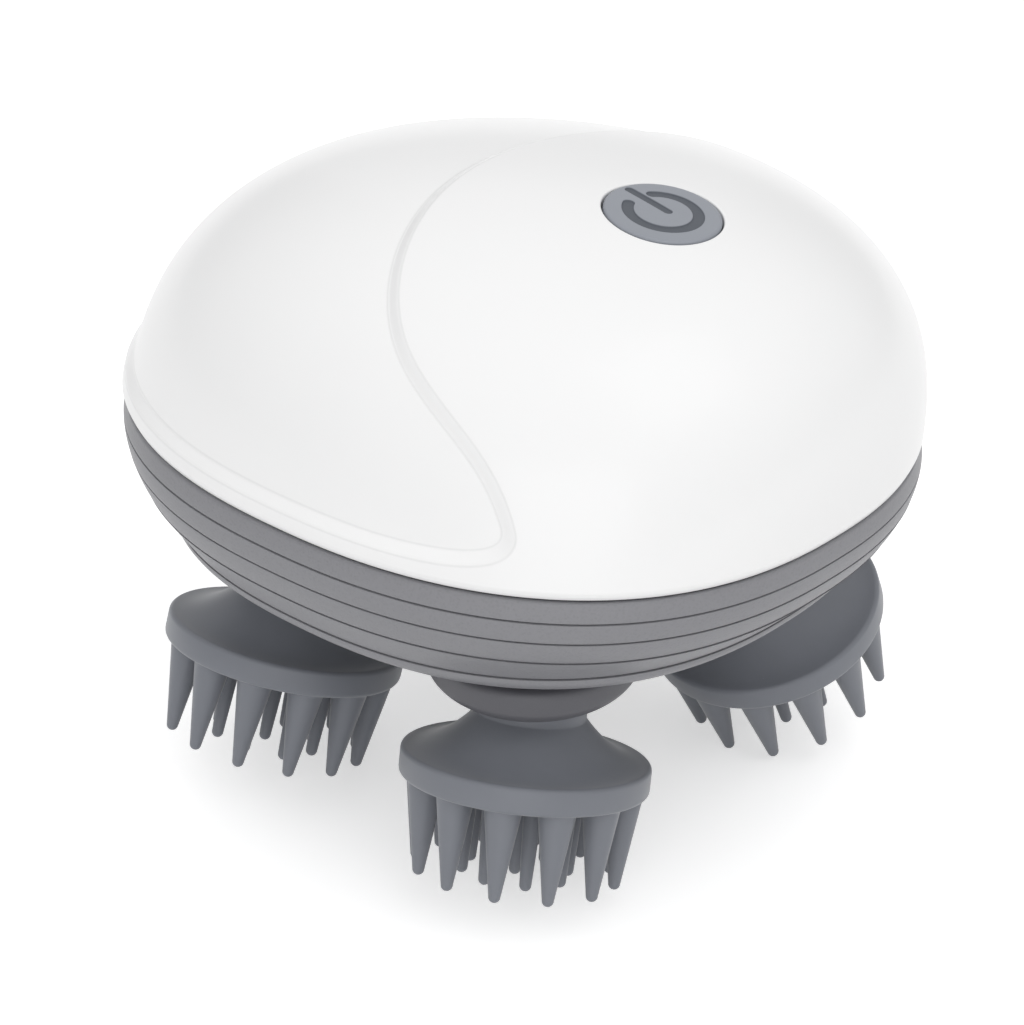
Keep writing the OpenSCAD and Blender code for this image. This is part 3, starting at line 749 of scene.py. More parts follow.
def hand_over(piece: bpy.types.Object, finish: Finish, body: str, slot: str,
              *nodes: str) -> None:
    """Gives a piece its finish, its body and the nodes it stands for.

    Args:
        piece: The new piece.
        finish: Its finish.
        body: The CAD body it rides on.
        slot: The record's material slot; not used.
        *nodes: CAD nodes it replaces.
    """
    piece.data.materials.clear()
    piece.data.materials.append(finish.material())
    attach(piece, body)
    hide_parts(*nodes)
    log.info("%s: %d faces on %s", piece.name, len(piece.data.polygons), body)


def joint_place(name: str) -> np.ndarray:
    """A joint's place in millimetres."""
    joint = next(j for j in frame["joints"] if j["name"] == name)
    return np.array(joint["pos_m"]) / MM


# --------------------------------------------------------------------------- colours
WHITE = srgb(246, 246, 246)
BELLY_GREY = srgb(131, 131, 135)
SLATE = srgb(121, 124, 131)
BUTTON_SLATE = srgb(146, 150, 158)
MARK_GREY = srgb(82, 87, 95)
COLLAR_GREY = srgb(86, 86, 91)

SHELL_GLOSS = GlossPlastic("shell_gloss", WHITE, roughness=0.3)
# the belly's grain carries strong painted shade and highlight in its colour
BELLY_GRAIN = GrainedPlastic("belly_grain", BELLY_GREY, roughness=0.46,
                             grain_depth_mm=0.02, shift=0.15)
COLLAR_SATIN = GrainedPlastic("collar_satin", COLLAR_GREY, roughness=0.5, grain_mm=0.2,
                              grain_depth_mm=0.006)
HEAD_SILICONE = Silicone("head_silicone", SLATE, roughness=0.47)
MARK = PowerMark()
BUTTON_SATIN = ButtonCap("button_satin", BUTTON_SLATE, roughness=0.42,
                         mark_colour=MARK_GREY, mark=MARK)
INNER_PLASTIC = GrainedPlastic("inner_plastic", srgb(62, 62, 66), roughness=0.5, grain_mm=0.5)
ACETAL = GrainedPlastic("acetal", srgb(231, 229, 220), roughness=0.34, grain_mm=1.2,
                        grain_depth_mm=0.003, shift=0.02)
SEAL_RUBBER = Rubber("seal_rubber", srgb(44, 44, 46), roughness=0.7)
STEEL = Metal("steel", srgb(203, 204, 207), roughness=0.26)
MOTOR_STEEL = Metal("motor_steel", srgb(190, 191, 194), roughness=0.34, grind=(1.0, 1.0, 0.5))
BRONZE = Metal("bronze", srgb(186, 148, 98), roughness=0.36, pores=1.0)
BOARD = CircuitBoard("board", srgb(22, 92, 58), roughness=0.32)
CELL_WRAP = ShrinkWrap("cell_wrap", srgb(52, 98, 150), roughness=0.24)


# --------------------------------------------------------------------------- housing
@dataclass
class Outline:
    """The housing's rounded outline, wider towards +Y."""

    half_w: float = 49.6
    half_l: float = 56.8
    power: float = 2.32
    egg: float = 0.045
    middle_x: float = 0.0

    def ring(self, t: np.ndarray, a: np.ndarray | float, b: np.ndarray | float,
             power: np.ndarray | float, egg: np.ndarray | float) -> tuple[np.ndarray, np.ndarray]:
        """Points of an outline of half width a and half length b.

        Args:
            t: Angles in radians.
            a: Half width.
            b: Half length.
            power: Roundness.
            egg: Share by which it widens towards +Y.

        Returns:
            X and Y, from the drive's middle.
        """
        x, y = a * spow(np.cos(t), 2 / power), b * spow(np.sin(t), 2 / power)
        return x * (1 + egg * y / self.half_l), y


@dataclass
class UpperShell:
    """The white dome with its button hole and the recessed palm panel."""

    outline: Outline
    seam_z: float
    low_z: float
    button: "ButtonPlace"
    band_h: float = 1.6
    crown_h: float = 35.4
    crown_power: float = 2.46
    top_power: float = 1.89
    crown_egg: float = 0.04
    swell: float = 0.009
    lean: Point2 = (10.5, 0.5)
    slope: Point2 = (-0.18, -0.08)
    panel_depth: float = 0.9
    panel_ramp: float = 2.0
    panel_rim: float = 4.2
    tongue_half_w: float = 43.6
    tongue_l: float = 29.2
    tongue_y: float = -22.0
    tongue_soft: float = 6.0
    tongue_powers: Point2 = (1.5, 3.5)
    tongue_spread: float = 0.2
    tongue_least_u: float = 0.05
    least_slope: float = 1e-3
    stretch_limits: Point2 = (0.25, 2.0)
    rim_blend: float = 5.0
    wall: float = 2.2
    seam_edge: tuple[Point2, ...] = ((0.5, 0.0), (0.85, 0.02), (0.96, 0.1), (1.0, 0.28))
    hole_round: float = 0.25
    columns: int = 720
    rows: int = 240
    row_ease: float = 0.25
    newton_rounds: int = 30
    newton_probe: float = 1e-4
    newton_reach: float = 0.05
    smooth_rounds: int = 12
    smooth_keep: float = 0.4
    smooth_share: float = 0.3

    def surface(self, t: np.ndarray, q: np.ndarray) -> tuple[np.ndarray, np.ndarray]:
        """The crown before the panel is sunk.

        Args:
            t: Angle round, in radians.
            q: 0 at the band and 1 at the top.

        Returns:
            Points from the drive's middle, and the crown's own rise from 0 to 1.
        """
        s = np.sin(q * math.pi / 2)
        k = (1 + self.swell) * (1 - s ** self.crown_power) ** (1 / self.crown_power)
        power = self.outline.power + (self.top_power - self.outline.power) * s
        x, y = self.outline.ring(t, self.outline.half_w * k, self.outline.half_l * k, power,
                                 self.outline.egg + self.crown_egg * s)
        x, y = x + self.lean[0] * s, y + self.lean[1] * s
        slant = s * (self.slope[0] * x + self.slope[1] * y)
        z = self.seam_z + self.band_h + self.crown_h * s + slant
        return np.stack([x, y, z], -1), s

    def on_disc(self, d: np.ndarray) -> tuple[np.ndarray, np.ndarray]:
        """The crown over a unit disc whose middle is the top and whose edge is the band."""
        r = np.clip(np.hypot(d[..., 0], d[..., 1]), 1e-6, 1.0)
        return self.surface(np.arctan2(d[..., 1], d[..., 0]), 1 - r)

    def hole_on_disc(self, angle: np.ndarray, radius: float) -> np.ndarray:
        """Where on the disc the button's hole lies, found by Newton steps.

        Args:
            angle: Angles round the button.
            radius: The hole's radius.

        Returns:
            Points on the disc.
        """
        wanted = radius * np.stack([np.cos(angle), np.sin(angle)], -1)
        d = np.tile(self.button.near_on_disc, (len(angle), 1))
        small = self.newton_probe

        def across(disc: np.ndarray) -> np.ndarray:
            """Place across the button's face."""
            return self.button.to_face(self.on_disc(disc)[0])[..., :2]

        for _ in range(self.newton_rounds):
            miss = across(d) - wanted
            ju = (across(d + [small, 0]) - across(d - [small, 0])) / (2 * small)
            jv = (across(d + [0, small]) - across(d - [0, small])) / (2 * small)
            det = ju[:, 0] * jv[:, 1] - ju[:, 1] * jv[:, 0]
            du = (miss[:, 0] * jv[:, 1] - miss[:, 1] * jv[:, 0]) / det
            dv = (ju[:, 0] * miss[:, 1] - ju[:, 1] * miss[:, 0]) / det
            step = np.stack([du, dv], -1)
            size = np.linalg.norm(step, axis=1, keepdims=True)
            d = d - step * np.minimum(1.0, self.newton_reach / np.maximum(size, TINY))
        return d

    def panel_inside(self, points: np.ndarray, s: np.ndarray) -> np.ndarray:
        """How far inside the recessed panel a point is, past the tongue and above the rim.

        Args:
            points: Points of the crown.
            s: The crown's own rise at each.

        Returns:
            Rough distances in millimetres, below 0 outside the panel.
        """
        u = np.abs(points[..., 0] - self.lean[0] * s)
        v = points[..., 1] - self.lean[1] * s - self.tongue_y
        past = (v + np.hypot(v, self.tongue_soft)) / 2
        p, q = self.tongue_powers
        a, b = np.maximum(u / self.tongue_half_w, self.tongue_least_u), past / self.tongue_l
        f = a ** p + b ** q
        steep = np.hypot(p * a ** (p - 1) / self.tongue_half_w, q * b ** (q - 1) / self.tongue_l)
        # f ** (1 / p) - 1, over its slope: near the tongue's edge this is a distance
        beyond = p * (f - f ** ((p - 1) / p)) / np.maximum(steep, self.least_slope)
        tongue = beyond - self.tongue_spread * (v - past)
        rim = points[..., 2] - self.seam_z - self.panel_rim
        gap, soft = tongue - rim, self.rim_blend
        blended = (tongue + rim) / 2 - soft / 4 - gap * gap / (4 * soft)
        return np.where(np.abs(gap) < soft, blended, np.minimum(tongue, rim))

    def build(self) -> None:
        """Makes the dome as rings that grow from the button's hole to the seam."""
        angle = round_angles(self.columns)
        hole = self.hole_on_disc(angle, self.button.hole_r + self.hole_round)
        away = hole - self.button.near_on_disc
        edge_angle = np.unwrap(np.arctan2(away[:, 1], away[:, 0]))
        edge = np.stack([np.cos(edge_angle), np.sin(edge_angle)], -1)
        share = np.linspace(0, 1, self.rows)[:, None, None]
        share = share * (1 - self.row_ease) + self.row_ease * share ** 2
        points, s = self.on_disc((1 - share) * hole + share * edge)
        inside = self.along_skin(self.panel_inside(points, s), points)
        sunk = self.panel_depth * bevelled(inside / self.panel_ramp + 0.5)
        points = points - self.normals(points) * sunk[..., None]
        lip, foot = self.hole_lip(points[0], angle), self.seam_lip(points[-1])
        rings = np.array([*lip, *points, *foot]) + [self.outline.middle_x, 0, 0]
        parts = MeshParts()
        parts.add(rings, ring_faces(len(rings), self.columns))
        piece = parts.build("shell_skin", sharp_deg=50.0)
        reach = np.pad(inside, ((len(lip), len(foot)), (0, 0)), "edge")
        kept = piece.data.attributes.new("panel_mm", "FLOAT", "POINT")
        kept.data.foreach_set("value", reach.ravel())
        hand_over(piece, SHELL_GLOSS, "housing", "gloss_white", "upper_shell")

    def along_skin(self, value: np.ndarray, points: np.ndarray) -> np.ndarray:
        """Turns a signed value into a distance along the surface near its zero line.

        Args:
            value: The value at each point.
            points: The grid, which closes round.

        Returns:
            Distances in millimetres, good near zero.
        """
        down, fd = np.gradient(points, axis=0), np.gradient(value, axis=0)
        side, ft = turned(points), turned(value)
        dd, ds, ss = (down * down).sum(-1), (down * side).sum(-1), (side * side).sum(-1)
        area = np.maximum(dd * ss - ds * ds, TINY)
        steep = (fd * fd * ss - 2 * fd * ft * ds + ft * ft * dd) / area
        keep, part = self.smooth_keep, self.smooth_share
        for _ in range(self.smooth_rounds):
            steep = steep * keep + part * (np.roll(steep, 2, axis=1) + np.roll(steep, -2, axis=1))
            steep[1:-1] = steep[1:-1] * keep + part * (steep[2:] + steep[:-2])
        return value / np.clip(np.sqrt(np.maximum(steep, 0)), *self.stretch_limits)

    @staticmethod
    def normals(points: np.ndarray) -> np.ndarray:
        """Outward normals of a grid.

        Args:
            points: The grid, which closes round.

        Returns:
            A unit vector at each point.
        """
        n = np.cross(np.gradient(points, axis=0), turned(points))
        n /= np.linalg.norm(n, axis=-1, keepdims=True)
        return n * np.sign(n[..., 2:].mean())

    def hole_lip(self, ring: np.ndarray, angle: np.ndarray) -> list[np.ndarray]:
        """Rings from the foot of the hole's wall up over its rounded edge.

        Args:
            ring: The surface's innermost ring.
            angle: The ring's angles round the button.

        Returns:
            The rings, lowest first.
        """
        axes = self.button.axes
        inward = -(np.cos(angle)[:, None] * axes[0] + np.sin(angle)[:, None] * axes[1])
        edge = [ring + self.hole_round * (inward * math.sin(w) - axes[2] * (1 - math.cos(w)))
                for w in np.radians([90, 72, 54, 36, 18])]
        return [edge[0] - axes[2] * self.wall, edge[0] - axes[2], *edge]

    def seam_lip(self, ring: np.ndarray) -> list[np.ndarray]:
        """Rings from the band down to the seam and in under it.

        Args:
            ring: The surface's outermost ring.

        Returns:
            The rings, highest first.
        """
        rings = []
        for share, inset in self.seam_edge:
            x = ring[:, 0] * (1 - self.swell * share - inset / self.outline.half_w)
            y = ring[:, 1] * (1 - self.swell * share - inset / self.outline.half_l)
            rings.append(np.stack([x, y, ring[:, 2] + (self.low_z - ring[:, 2]) * share], -1))
        inward = [1 - self.wall / self.outline.half_w, 1 - self.wall / self.outline.half_l, 1]
        return [*rings, rings[-1] * inward]


@dataclass
class ButtonPlace:
    """Where the button lies and how it tilts, as in the part's source."""

    middle_x: float
    hole_r: float = 8.4
    xy: Point2 = (2.7, -22.7)
    tilt_deg: float = 8.2
    lean_deg: float = -59.0
    near_on_disc: np.ndarray = field(default_factory=lambda: np.array([-0.075, -0.195]))
    top_z: float = 94.627
    sink: float = 0.3

    @property
    def normal(self) -> np.ndarray:
        """The way the button's face looks."""
        tilt, lean = math.radians(self.tilt_deg), math.radians(self.lean_deg)
        return np.array([math.sin(tilt) * math.cos(lean), math.sin(tilt) * math.sin(lean),
                         math.cos(tilt)])

    @property
    def axes(self) -> np.ndarray:
        """The button's own directions.

        Returns:
            Rows: its X, Y and Z.
        """
        z = self.normal
        lean = math.radians(self.lean_deg)
        y = np.array([-math.sin(lean), math.cos(lean), 0.0])
        return np.stack([np.cross(y, z), y, z])

    def to_face(self, points: np.ndarray) -> np.ndarray:
        """Points from the drive's middle, in the button's own axes."""
        return (points - [*self.xy, self.top_z]) @ self.axes.T

    def matrix(self) -> Matrix:
        """The button's place in metres, for a Blender object."""
        place = np.array([self.xy[0] + self.middle_x, self.xy[1], self.top_z - self.sink]) * MM
        return Matrix([*([*row, at] for row, at in zip(self.axes.T, place)), [0, 0, 0, 1]])


@dataclass
class PowerButton:
    """The round button with its sunk power sign."""

    place: ButtonPlace
    mark: PowerMark
    radius: float = 8.15
    dome_h: float = 0.13
    edge_in: float = 0.5
    edge_down: float = 0.45
    low_z: float = -8.0
    flange_z: float = -3.6
    flange_t: float = 1.0
    flange_out: float = 1.6
    stem_r: float = 1.8
    stem_foot_r: float = 0.2
    columns: int = 480
    rings: int = 170

    def build(self) -> None:
        """Makes the cap, its flange and its stem."""
        angle = round_angles(self.columns)
        reach = self.radius - self.edge_in
        radii = np.linspace(0.0, reach, self.rings)[1:]
        x, y = radii[:, None] * np.cos(angle), radii[:, None] * np.sin(angle)
        z = self.crown(radii)[:, None] - self.mark.sunk(x, y)
        top = np.stack([x, y, z], -1)
        rim = [(reach + self.edge_in * math.sin(w),
                self.crown(reach) - self.edge_down * (1 - math.cos(w)))
               for w in np.radians([18, 36, 54, 72, 90])]
        flange_r, under_z = self.radius + self.flange_out, self.flange_z - self.flange_t
        side = [*rim, (self.radius, self.flange_z), (flange_r, self.flange_z),
                (flange_r, under_z), (self.stem_r, under_z),
                (self.stem_r, self.low_z), (self.stem_foot_r, self.low_z)]
        rings = [np.stack([r * np.cos(angle), r * np.sin(angle), 0 * angle + h], -1)
                 for r, h in side]
        body = np.concatenate([top, np.array(rings)])
        points = np.concatenate([[[0.0, 0.0, self.crown(0.0)]], body.reshape(-1, 3)])
        fan = [(0, 1 + i, 1 + (i + 1) % self.columns) for i in range(self.columns)]
        quads = [tuple(1 + i for i in reversed(face))
                 for face in ring_faces(len(body), self.columns)]
        last = 1 + (len(body) - 1) * self.columns
        parts = MeshParts()
        parts.add(points, [*fan, *quads, tuple(reversed(range(last, last + self.columns)))])
        piece = parts.build("button_cap", sharp_deg=50.0)
        piece.matrix_world = self.place.matrix()
        hand_over(piece, BUTTON_SATIN, "button", "button_grey", "power_button")

    def crown(self, r: np.ndarray | float) -> np.ndarray | float:
        """Height of the slightly domed face at radius r."""
        return self.dome_h * (1 - (r / self.radius) ** 2)


@dataclass
class LowerShell:
    """The grey belly with its four thin lines."""

    outline: Outline
    under_z: float
    # height over the underside, half width and half length: the seam, then each line
    lines: tuple[tuple[float, float, float], ...] = (
        (19.0, 49.6, 56.8), (16.1, 50.3, 57.1), (12.7, 50.3, 56.2),
        (8.6, 49.2, 53.9), (3.7, 46.6, 49.2))
    under_half: Point2 = (41.5, 42.5)
    under_power: float = 2.6
    seam_edge: tuple[Point2, ...] = ((0.0, 0.35), (0.12, 0.08))
    step_d: float = 0.5
    line_h: float = 0.26
    under_line: float = 0.3
    over_line: float = 0.06
    step_fade: float = 2.5
    inner_step: float = 0.5
    hole_half: Point2 = (38.9, 39.9)
    floor_t: float = 2.2
    floor_step: float = 2.0
    wall: float = 2.2
    columns: int = 480
    slot_gap: float = 0.3
    slot_from: float = -7.0
    slot_to: float = 5.0
    slot_points: int = 48

    def profile(self) -> list[tuple[float, float, float, float]]:
        """Outline of the belly, from the seam down its outside and up its inside.

        Returns:
            Height over the underside, half width, half length and roundness of each ring.
        """
        power = self.outline.power
        top_h, top_a, top_b = self.lines[0]
        rows = [(top_h - drop, top_a - inset, top_b - inset, power)
                for drop, inset in self.seam_edge]
        deep, tall = self.step_d, self.line_h
        groove = ((0.0, 0.04), (0.03, 0.12), (0.04, deep),
                  (tall - 0.02, deep), (tall - 0.01, 0.14), (tall + 0.03, 0.05))
        for upper, lower in zip(self.lines, self.lines[1:]):
            start = upper[0] - self.under_line
            for share in np.linspace(0, 1, 9):
                h = start + (lower[0] + self.over_line - start) * share
                rows.append((h, *self.on_curve(h), power))
            a, b = self.on_curve(lower[0])
            rows += [(lower[0] - drop, a - inset, b - inset, power) for drop, inset in groove]
        low_h, *low_half = self.lines[-1]
        for w in np.linspace(0, math.pi / 2, 16):
            c = 1 - math.cos(w)
            sunk = deep * min(1.0, c * self.step_fade)
            half = (edge + (under - edge) * c - sunk
                    for edge, under in zip(low_half, self.under_half))
            rows.append(((low_h - self.under_line) * (1 - math.sin(w)), *half,
                         power + (self.under_power - power) * c))
        rows += [(h, self.hole_half[0] + out, self.hole_half[1] + out, self.under_power)
                 for h, out in ((0.0, 0.0), (self.floor_t, 0.0), (self.floor_t, self.floor_step))]
        rows += [(h, a - self.wall - self.inner_step, b - self.wall - self.inner_step, power)
                 for h, a, b in reversed(self.lines[1:])]
        return [*rows, (top_h, top_a - self.wall, top_b - self.wall, power)]

    def on_curve(self, height: float) -> Point2:
        """Half width and half length of the smooth belly at a height over the underside."""
        heights, widths, lengths = zip(*reversed(self.lines))
        return self.blend(height, heights, widths), self.blend(height, heights, lengths)

    @staticmethod
    def blend(at: float, xs: Sequence[float], ys: Sequence[float]) -> float:
        """A cubic through points, each with the mean of the slopes beside it.

        Args:
            at: Where the curve is wanted.
            xs: The points' places, rising.
            ys: The points' values.

        Returns:
            The curve's value.
        """
        slopes = [(ys[i + 1] - ys[i]) / (xs[i + 1] - xs[i]) for i in range(len(xs) - 1)]
        tangents = [slopes[0], *[(a + b) / 2 for a, b in zip(slopes, slopes[1:])], slopes[-1]]
        i = max(0, min(len(xs) - 2, int(np.searchsorted(xs, at)) - 1))
        span = xs[i + 1] - xs[i]
        t = (at - xs[i]) / span
        return ((2 * t ** 3 - 3 * t * t + 1) * ys[i] + (t ** 3 - 2 * t * t + t) * span * tangents[i]
                + (3 * t * t - 2 * t ** 3) * ys[i + 1] + (t ** 3 - t * t) * span * tangents[i + 1])

    def build(self) -> None:
        """Makes the belly."""
        t = round_angles(self.columns)
        rings = []
        for height, a, b, power in self.profile():
            x, y = self.outline.ring(t, a, b, power, self.outline.egg)
            z = 0 * x + self.under_z + height
            rings.append(np.stack([x + self.outline.middle_x, y, z], -1))
        parts = MeshParts()
        faces = ring_faces(len(rings), self.columns, closed=True)
        parts.add(np.array(rings), [tuple(reversed(face)) for face in faces])
        piece = parts.build("belly_skin", sharp_deg=35.0)
        self.cut_slot(piece)
        hand_over(piece, BELLY_GRAIN, "housing", "grain_grey", "lower_shell")

    def cut_slot(self, piece: bpy.types.Object) -> None:
        """Takes the charging slot's round-ended cutter from the belly with a Boolean.

        Known fault: the belly stays closed. The cutter's faces look inwards, so the
        Boolean has nothing to take away.

        Args:
            piece: The belly.
        """
        low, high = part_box("charging_socket")
        middle = (low + high) / 2 / MM
        radius = (high.z - low.z) / 2 / MM + self.slot_gap
        half = (high.x - low.x) / 2 / MM + self.slot_gap - radius
        count = self.slot_points
        angles = round_angles(count)
        x = radius * np.cos(angles) + half * np.sign(np.cos(angles) + TINY)
        z = radius * np.sin(angles)
        rings = [np.stack([middle.x + x, 0 * x + y, middle.z + z], -1)
                 for y in (self.outline.half_l + self.slot_from,
                           self.outline.half_l + self.slot_to)]
        caps = [tuple(reversed(range(count))), tuple(range(count, 2 * count))]
        parts = MeshParts()
        parts.add(np.array(rings), [*ring_faces(2, count), *caps])
        cutter = parts.build("slot_cutter")
        bpy.context.view_layer.update()
        cut = piece.modifiers.new("slot", "BOOLEAN")
        cut.operation, cut.solver, cut.object = "DIFFERENCE", "EXACT", cutter
        graph = bpy.context.evaluated_depsgraph_get()
        made = bpy.data.meshes.new_from_object(piece.evaluated_get(graph))
        piece.modifiers.clear()
        piece.data = made
        bpy.data.objects.remove(cutter)


# --------------------------------------------------------------------------- heads
@dataclass
class MassageHead:
    """One silicone head, with the collar it comes out of."""

    head: Head
    lean_deg: float
    finger_turn_deg: float
    tilt_deg: float = 19.8
    disc_r: float = 17.6
    rim_h: float = 4.0
    disc_drop: float = 9.6
    neck_r: float = 7.8
    neck_len: float = 3.8
    neck_top: float = -4.5
    neck_mouth_r: float = 5.0
    neck_mouth_z: float = 1.2
    mouth_round: float = 0.2
    # how far in and how far down each ring of the neck's shoulder lies
    shoulder: tuple[Point2, ...] = (
        (1.6, 0.0), (1.35, 0.1), (0.8, 0.7), (0.4, 1.3), (0.12, 2.3), (0.0, 3.3), (0.0, 5.4),
        (0.0, 7.4))
    flare_power: float = 1.9
    flare_ease: float = 1.4
    edge_r: float = 0.7
    under_radii: tuple[float, ...] = (15.5, 12.0, 8.0, 4.0, 0.05)
    bell_columns: int = 160
    finger_l: float = 13.6
    finger_r: float = 2.6
    inner_finger_r: float = 1.4
    finger_columns: int = 32
    fillet: float = 0.45
    fillet_from: float = -0.3
    fillet_l: float = 0.9
    taper_from: float = 0.6
    tip_r: float = 0.85
    outer_n: int = 12
    outer_ring_r: float = 14.2
    inner_n: int = 8
    inner_ring_r: float = 7.6

    def place(self, points: np.ndarray) -> np.ndarray:
        """Moves points from the head's own axes, with Z down the neck, to the frame.

        Args:
            points: Points in the head's own axes.

        Returns:
            The points in the frame.
        """
        tilt, lean = math.radians(180 - self.tilt_deg), math.radians(self.lean_deg)
        c, s = math.cos(tilt), math.sin(tilt)
        about_y = np.array([[c, 0, s], [0, 1, 0], [-s, 0, c]])
        c, s = math.cos(lean), math.sin(lean)
        about_z = np.array([[c, -s, 0], [s, c, 0], [0, 0, 1]])
        return points @ (about_z @ about_y).T + joint_place(f"head_{self.head.value}_spin")

    def bell_profile(self) -> np.ndarray:
        """Outline of the neck, the flared bell and the disc.

        Returns:
            Radius and height of each ring, from the neck's mouth to the middle below.
        """
        rim_in = self.disc_r - self.edge_r
        bottom = self.disc_drop + self.rim_h
        out = rim_in - self.neck_r
        radii = self.neck_r + out * np.linspace(0, 1, 28) ** self.flare_ease
        flare = (self.disc_drop - (self.disc_drop - self.neck_len)
                 * ((rim_in - radii) / out) ** self.flare_power)
        mouth = [(self.neck_mouth_r, self.neck_mouth_z),
                 (self.neck_mouth_r, self.neck_top + self.mouth_round),
                 (self.neck_mouth_r + self.mouth_round, self.neck_top)]
        neck = [(self.neck_r - inset, self.neck_top + down) for inset, down in self.shoulder]
        edge = [(rim_in + self.edge_r * math.sin(w),
                 self.disc_drop + self.edge_r * (1 - math.cos(w)))
                for w in np.radians([15, 30, 45, 60, 75, 90])]
        low = [(rim_in + self.edge_r * math.cos(w), bottom - self.edge_r * (1 - math.sin(w)))
               for w in np.radians([0, 22, 45, 67, 90])]
        under = [(r, bottom) for r in self.under_radii]
        return np.array([*mouth, *neck, *zip(radii, flare), *edge, *low, *under], float)

    def finger_profile(self, root_r: float) -> np.ndarray:
        """Outline of a finger: a small fillet at the root, a straight taper and a round tip.

        Args:
            root_r: Its radius at the root.

        Returns:
            Radius and height of each ring, from the root down.
        """
        root = [(root_r + self.fillet * (1 - h) ** 2, self.fillet_from + h * self.fillet_l)
                for h in np.linspace(0, 1, 6)]
        straight = self.finger_l - self.tip_r - self.taper_from
        taper = [(root_r + (self.tip_r - root_r) * share, self.taper_from + straight * share)
                 for share in np.linspace(0.1, 1, 8)]
        tip = [(self.tip_r * math.cos(w), self.finger_l - self.tip_r * (1 - math.sin(w)))
               for w in np.radians([12, 28, 45, 62, 78, 88])]
        return np.array([*root, *taper, *tip], float)

    def finger_places(self) -> list[tuple[float, float, float]]:
        """Where the fingers stand.

        Returns:
            The place's radius and angle, and the root's radius, of every finger.
        """
        turn = self.finger_turn_deg
        outer = [(self.outer_ring_r, 180 + turn + 360 * k / self.outer_n, self.finger_r)
                 for k in range(self.outer_n)]
        inner = [(self.inner_ring_r, turn + 360 * (k + 0.5) / self.inner_n, self.inner_finger_r)
                 for k in range(self.inner_n)]
        return [*outer, *inner, (0.0, 0.0, self.inner_finger_r)]

    def build_silicone(self) -> None:
        """Makes the silicone head with all its fingers."""
        parts = MeshParts()
        parts.add_revolved(self.bell_profile()[::-1], self.bell_columns, self.place, capped=False)
        bottom = self.disc_drop + self.rim_h
        for radius, angle, root_r in self.finger_places():
            turn = math.radians(angle)
            at = np.array([radius * math.cos(turn), radius * math.sin(turn), bottom])
            parts.add_revolved(self.finger_profile(root_r), self.finger_columns,
                               lambda p, at=at: self.place(p + at))
        name = self.head.value
        piece = parts.build(f"silicone_{name}", sharp_deg=45.0)
        hand_over(piece, HEAD_SILICONE, f"head_{name}", "silicone_grey", f"massage_head_{name}")

    def build(self) -> None:
        """Makes the collar and the silicone head."""
        self.build_silicone()
        Collar(self.head).build()


@dataclass
class Collar:
    """The half-round cup under the belly that a head comes out of."""

    head: Head
    radius: float = 14.9
    top_r: float = 12.9
    bowl_power: float = 1.15
    mouth_r: float = 9.3
    spigot_r: float = 8.7
    wall: float = 2.0
    hub_r: float = 7.0
    bore_r: float = 4.52
    lip_over_pivot: float = 2.0
    hub_over_pivot: float = 6.8
    ceiling_over_pivot: float = 7.8
    bulge_down: float = 3.6
    bulge_lip: float = 0.5
    ceiling_in: float = 0.6
    # how far in and how far down the rings of the shoulder lie, and out and up those of the lip
    shoulder: tuple[Point2, ...] = ((0.75, 0.3), (0.25, 0.6), (0.05, 1.1), (0.0, 1.7))
    lip: tuple[Point2, ...] = ((0.15, 0.1), (0.0, 0.4))
    columns: int = 144

    def profile(self, pivot_z: float, under_z: float, top_z: float) -> np.ndarray:
        """Outline from the spigot's bore, over the cup and back inside.

        Args:
            pivot_z: Height of the crank's pivot.
            under_z: Height of the housing's underside.
            top_z: Height of the spigot's top.

        Returns:
            Radius and height of each ring.
        """
        low, bulge = pivot_z + self.lip_over_pivot, under_z - self.bulge_down
        shoulder = [(self.radius - inset, under_z - down) for inset, down in self.shoulder]
        wide = self.radius - self.mouth_r - self.bulge_lip
        cup = [(self.mouth_r + self.bulge_lip + wide * max(math.cos(w), 0) ** self.bowl_power,
                bulge - (bulge - low) * math.sin(w) ** self.bowl_power)
               for w in np.linspace(0, math.pi / 2, 24)]
        lip = [(self.mouth_r + out, low + up) for out, up in self.lip]
        inner_r = self.radius - self.wall
        inside = [(self.mouth_r + (inner_r - self.mouth_r) * math.cos(w),
                   bulge - (bulge - low - self.wall) * math.sin(w))
                  for w in np.linspace(math.pi / 2, 0, 10)]
        hub_z, ceiling_z = pivot_z + self.hub_over_pivot, pivot_z + self.ceiling_over_pivot
        back = [(inner_r - self.ceiling_in, ceiling_z), (self.hub_r, ceiling_z),
                (self.hub_r, hub_z), (self.bore_r, hub_z), (self.bore_r, top_z)]
        return np.array([(self.bore_r, top_z), (self.spigot_r, top_z), (self.spigot_r, under_z),
                         (self.top_r, under_z), *shoulder, *cup, *lip, *inside, *back], float)

    def build(self) -> None:
        """Makes the collar."""
        name = self.head.value
        pivot = joint_place(f"head_{name}_spin")
        under_z, top_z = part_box("lower_shell")[0].z / MM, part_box(f"collar_{name}")[1].z / MM
        parts = MeshParts()
        parts.add_revolved(self.profile(pivot[2], under_z, top_z)[::-1], self.columns,
                           lambda p: p + [pivot[0], pivot[1], 0], capped=False)
        piece = parts.build(f"collar_skin_{name}", sharp_deg=40.0)
        hand_over(piece, COLLAR_SATIN, "housing", "dark_plastic", f"collar_{name}")


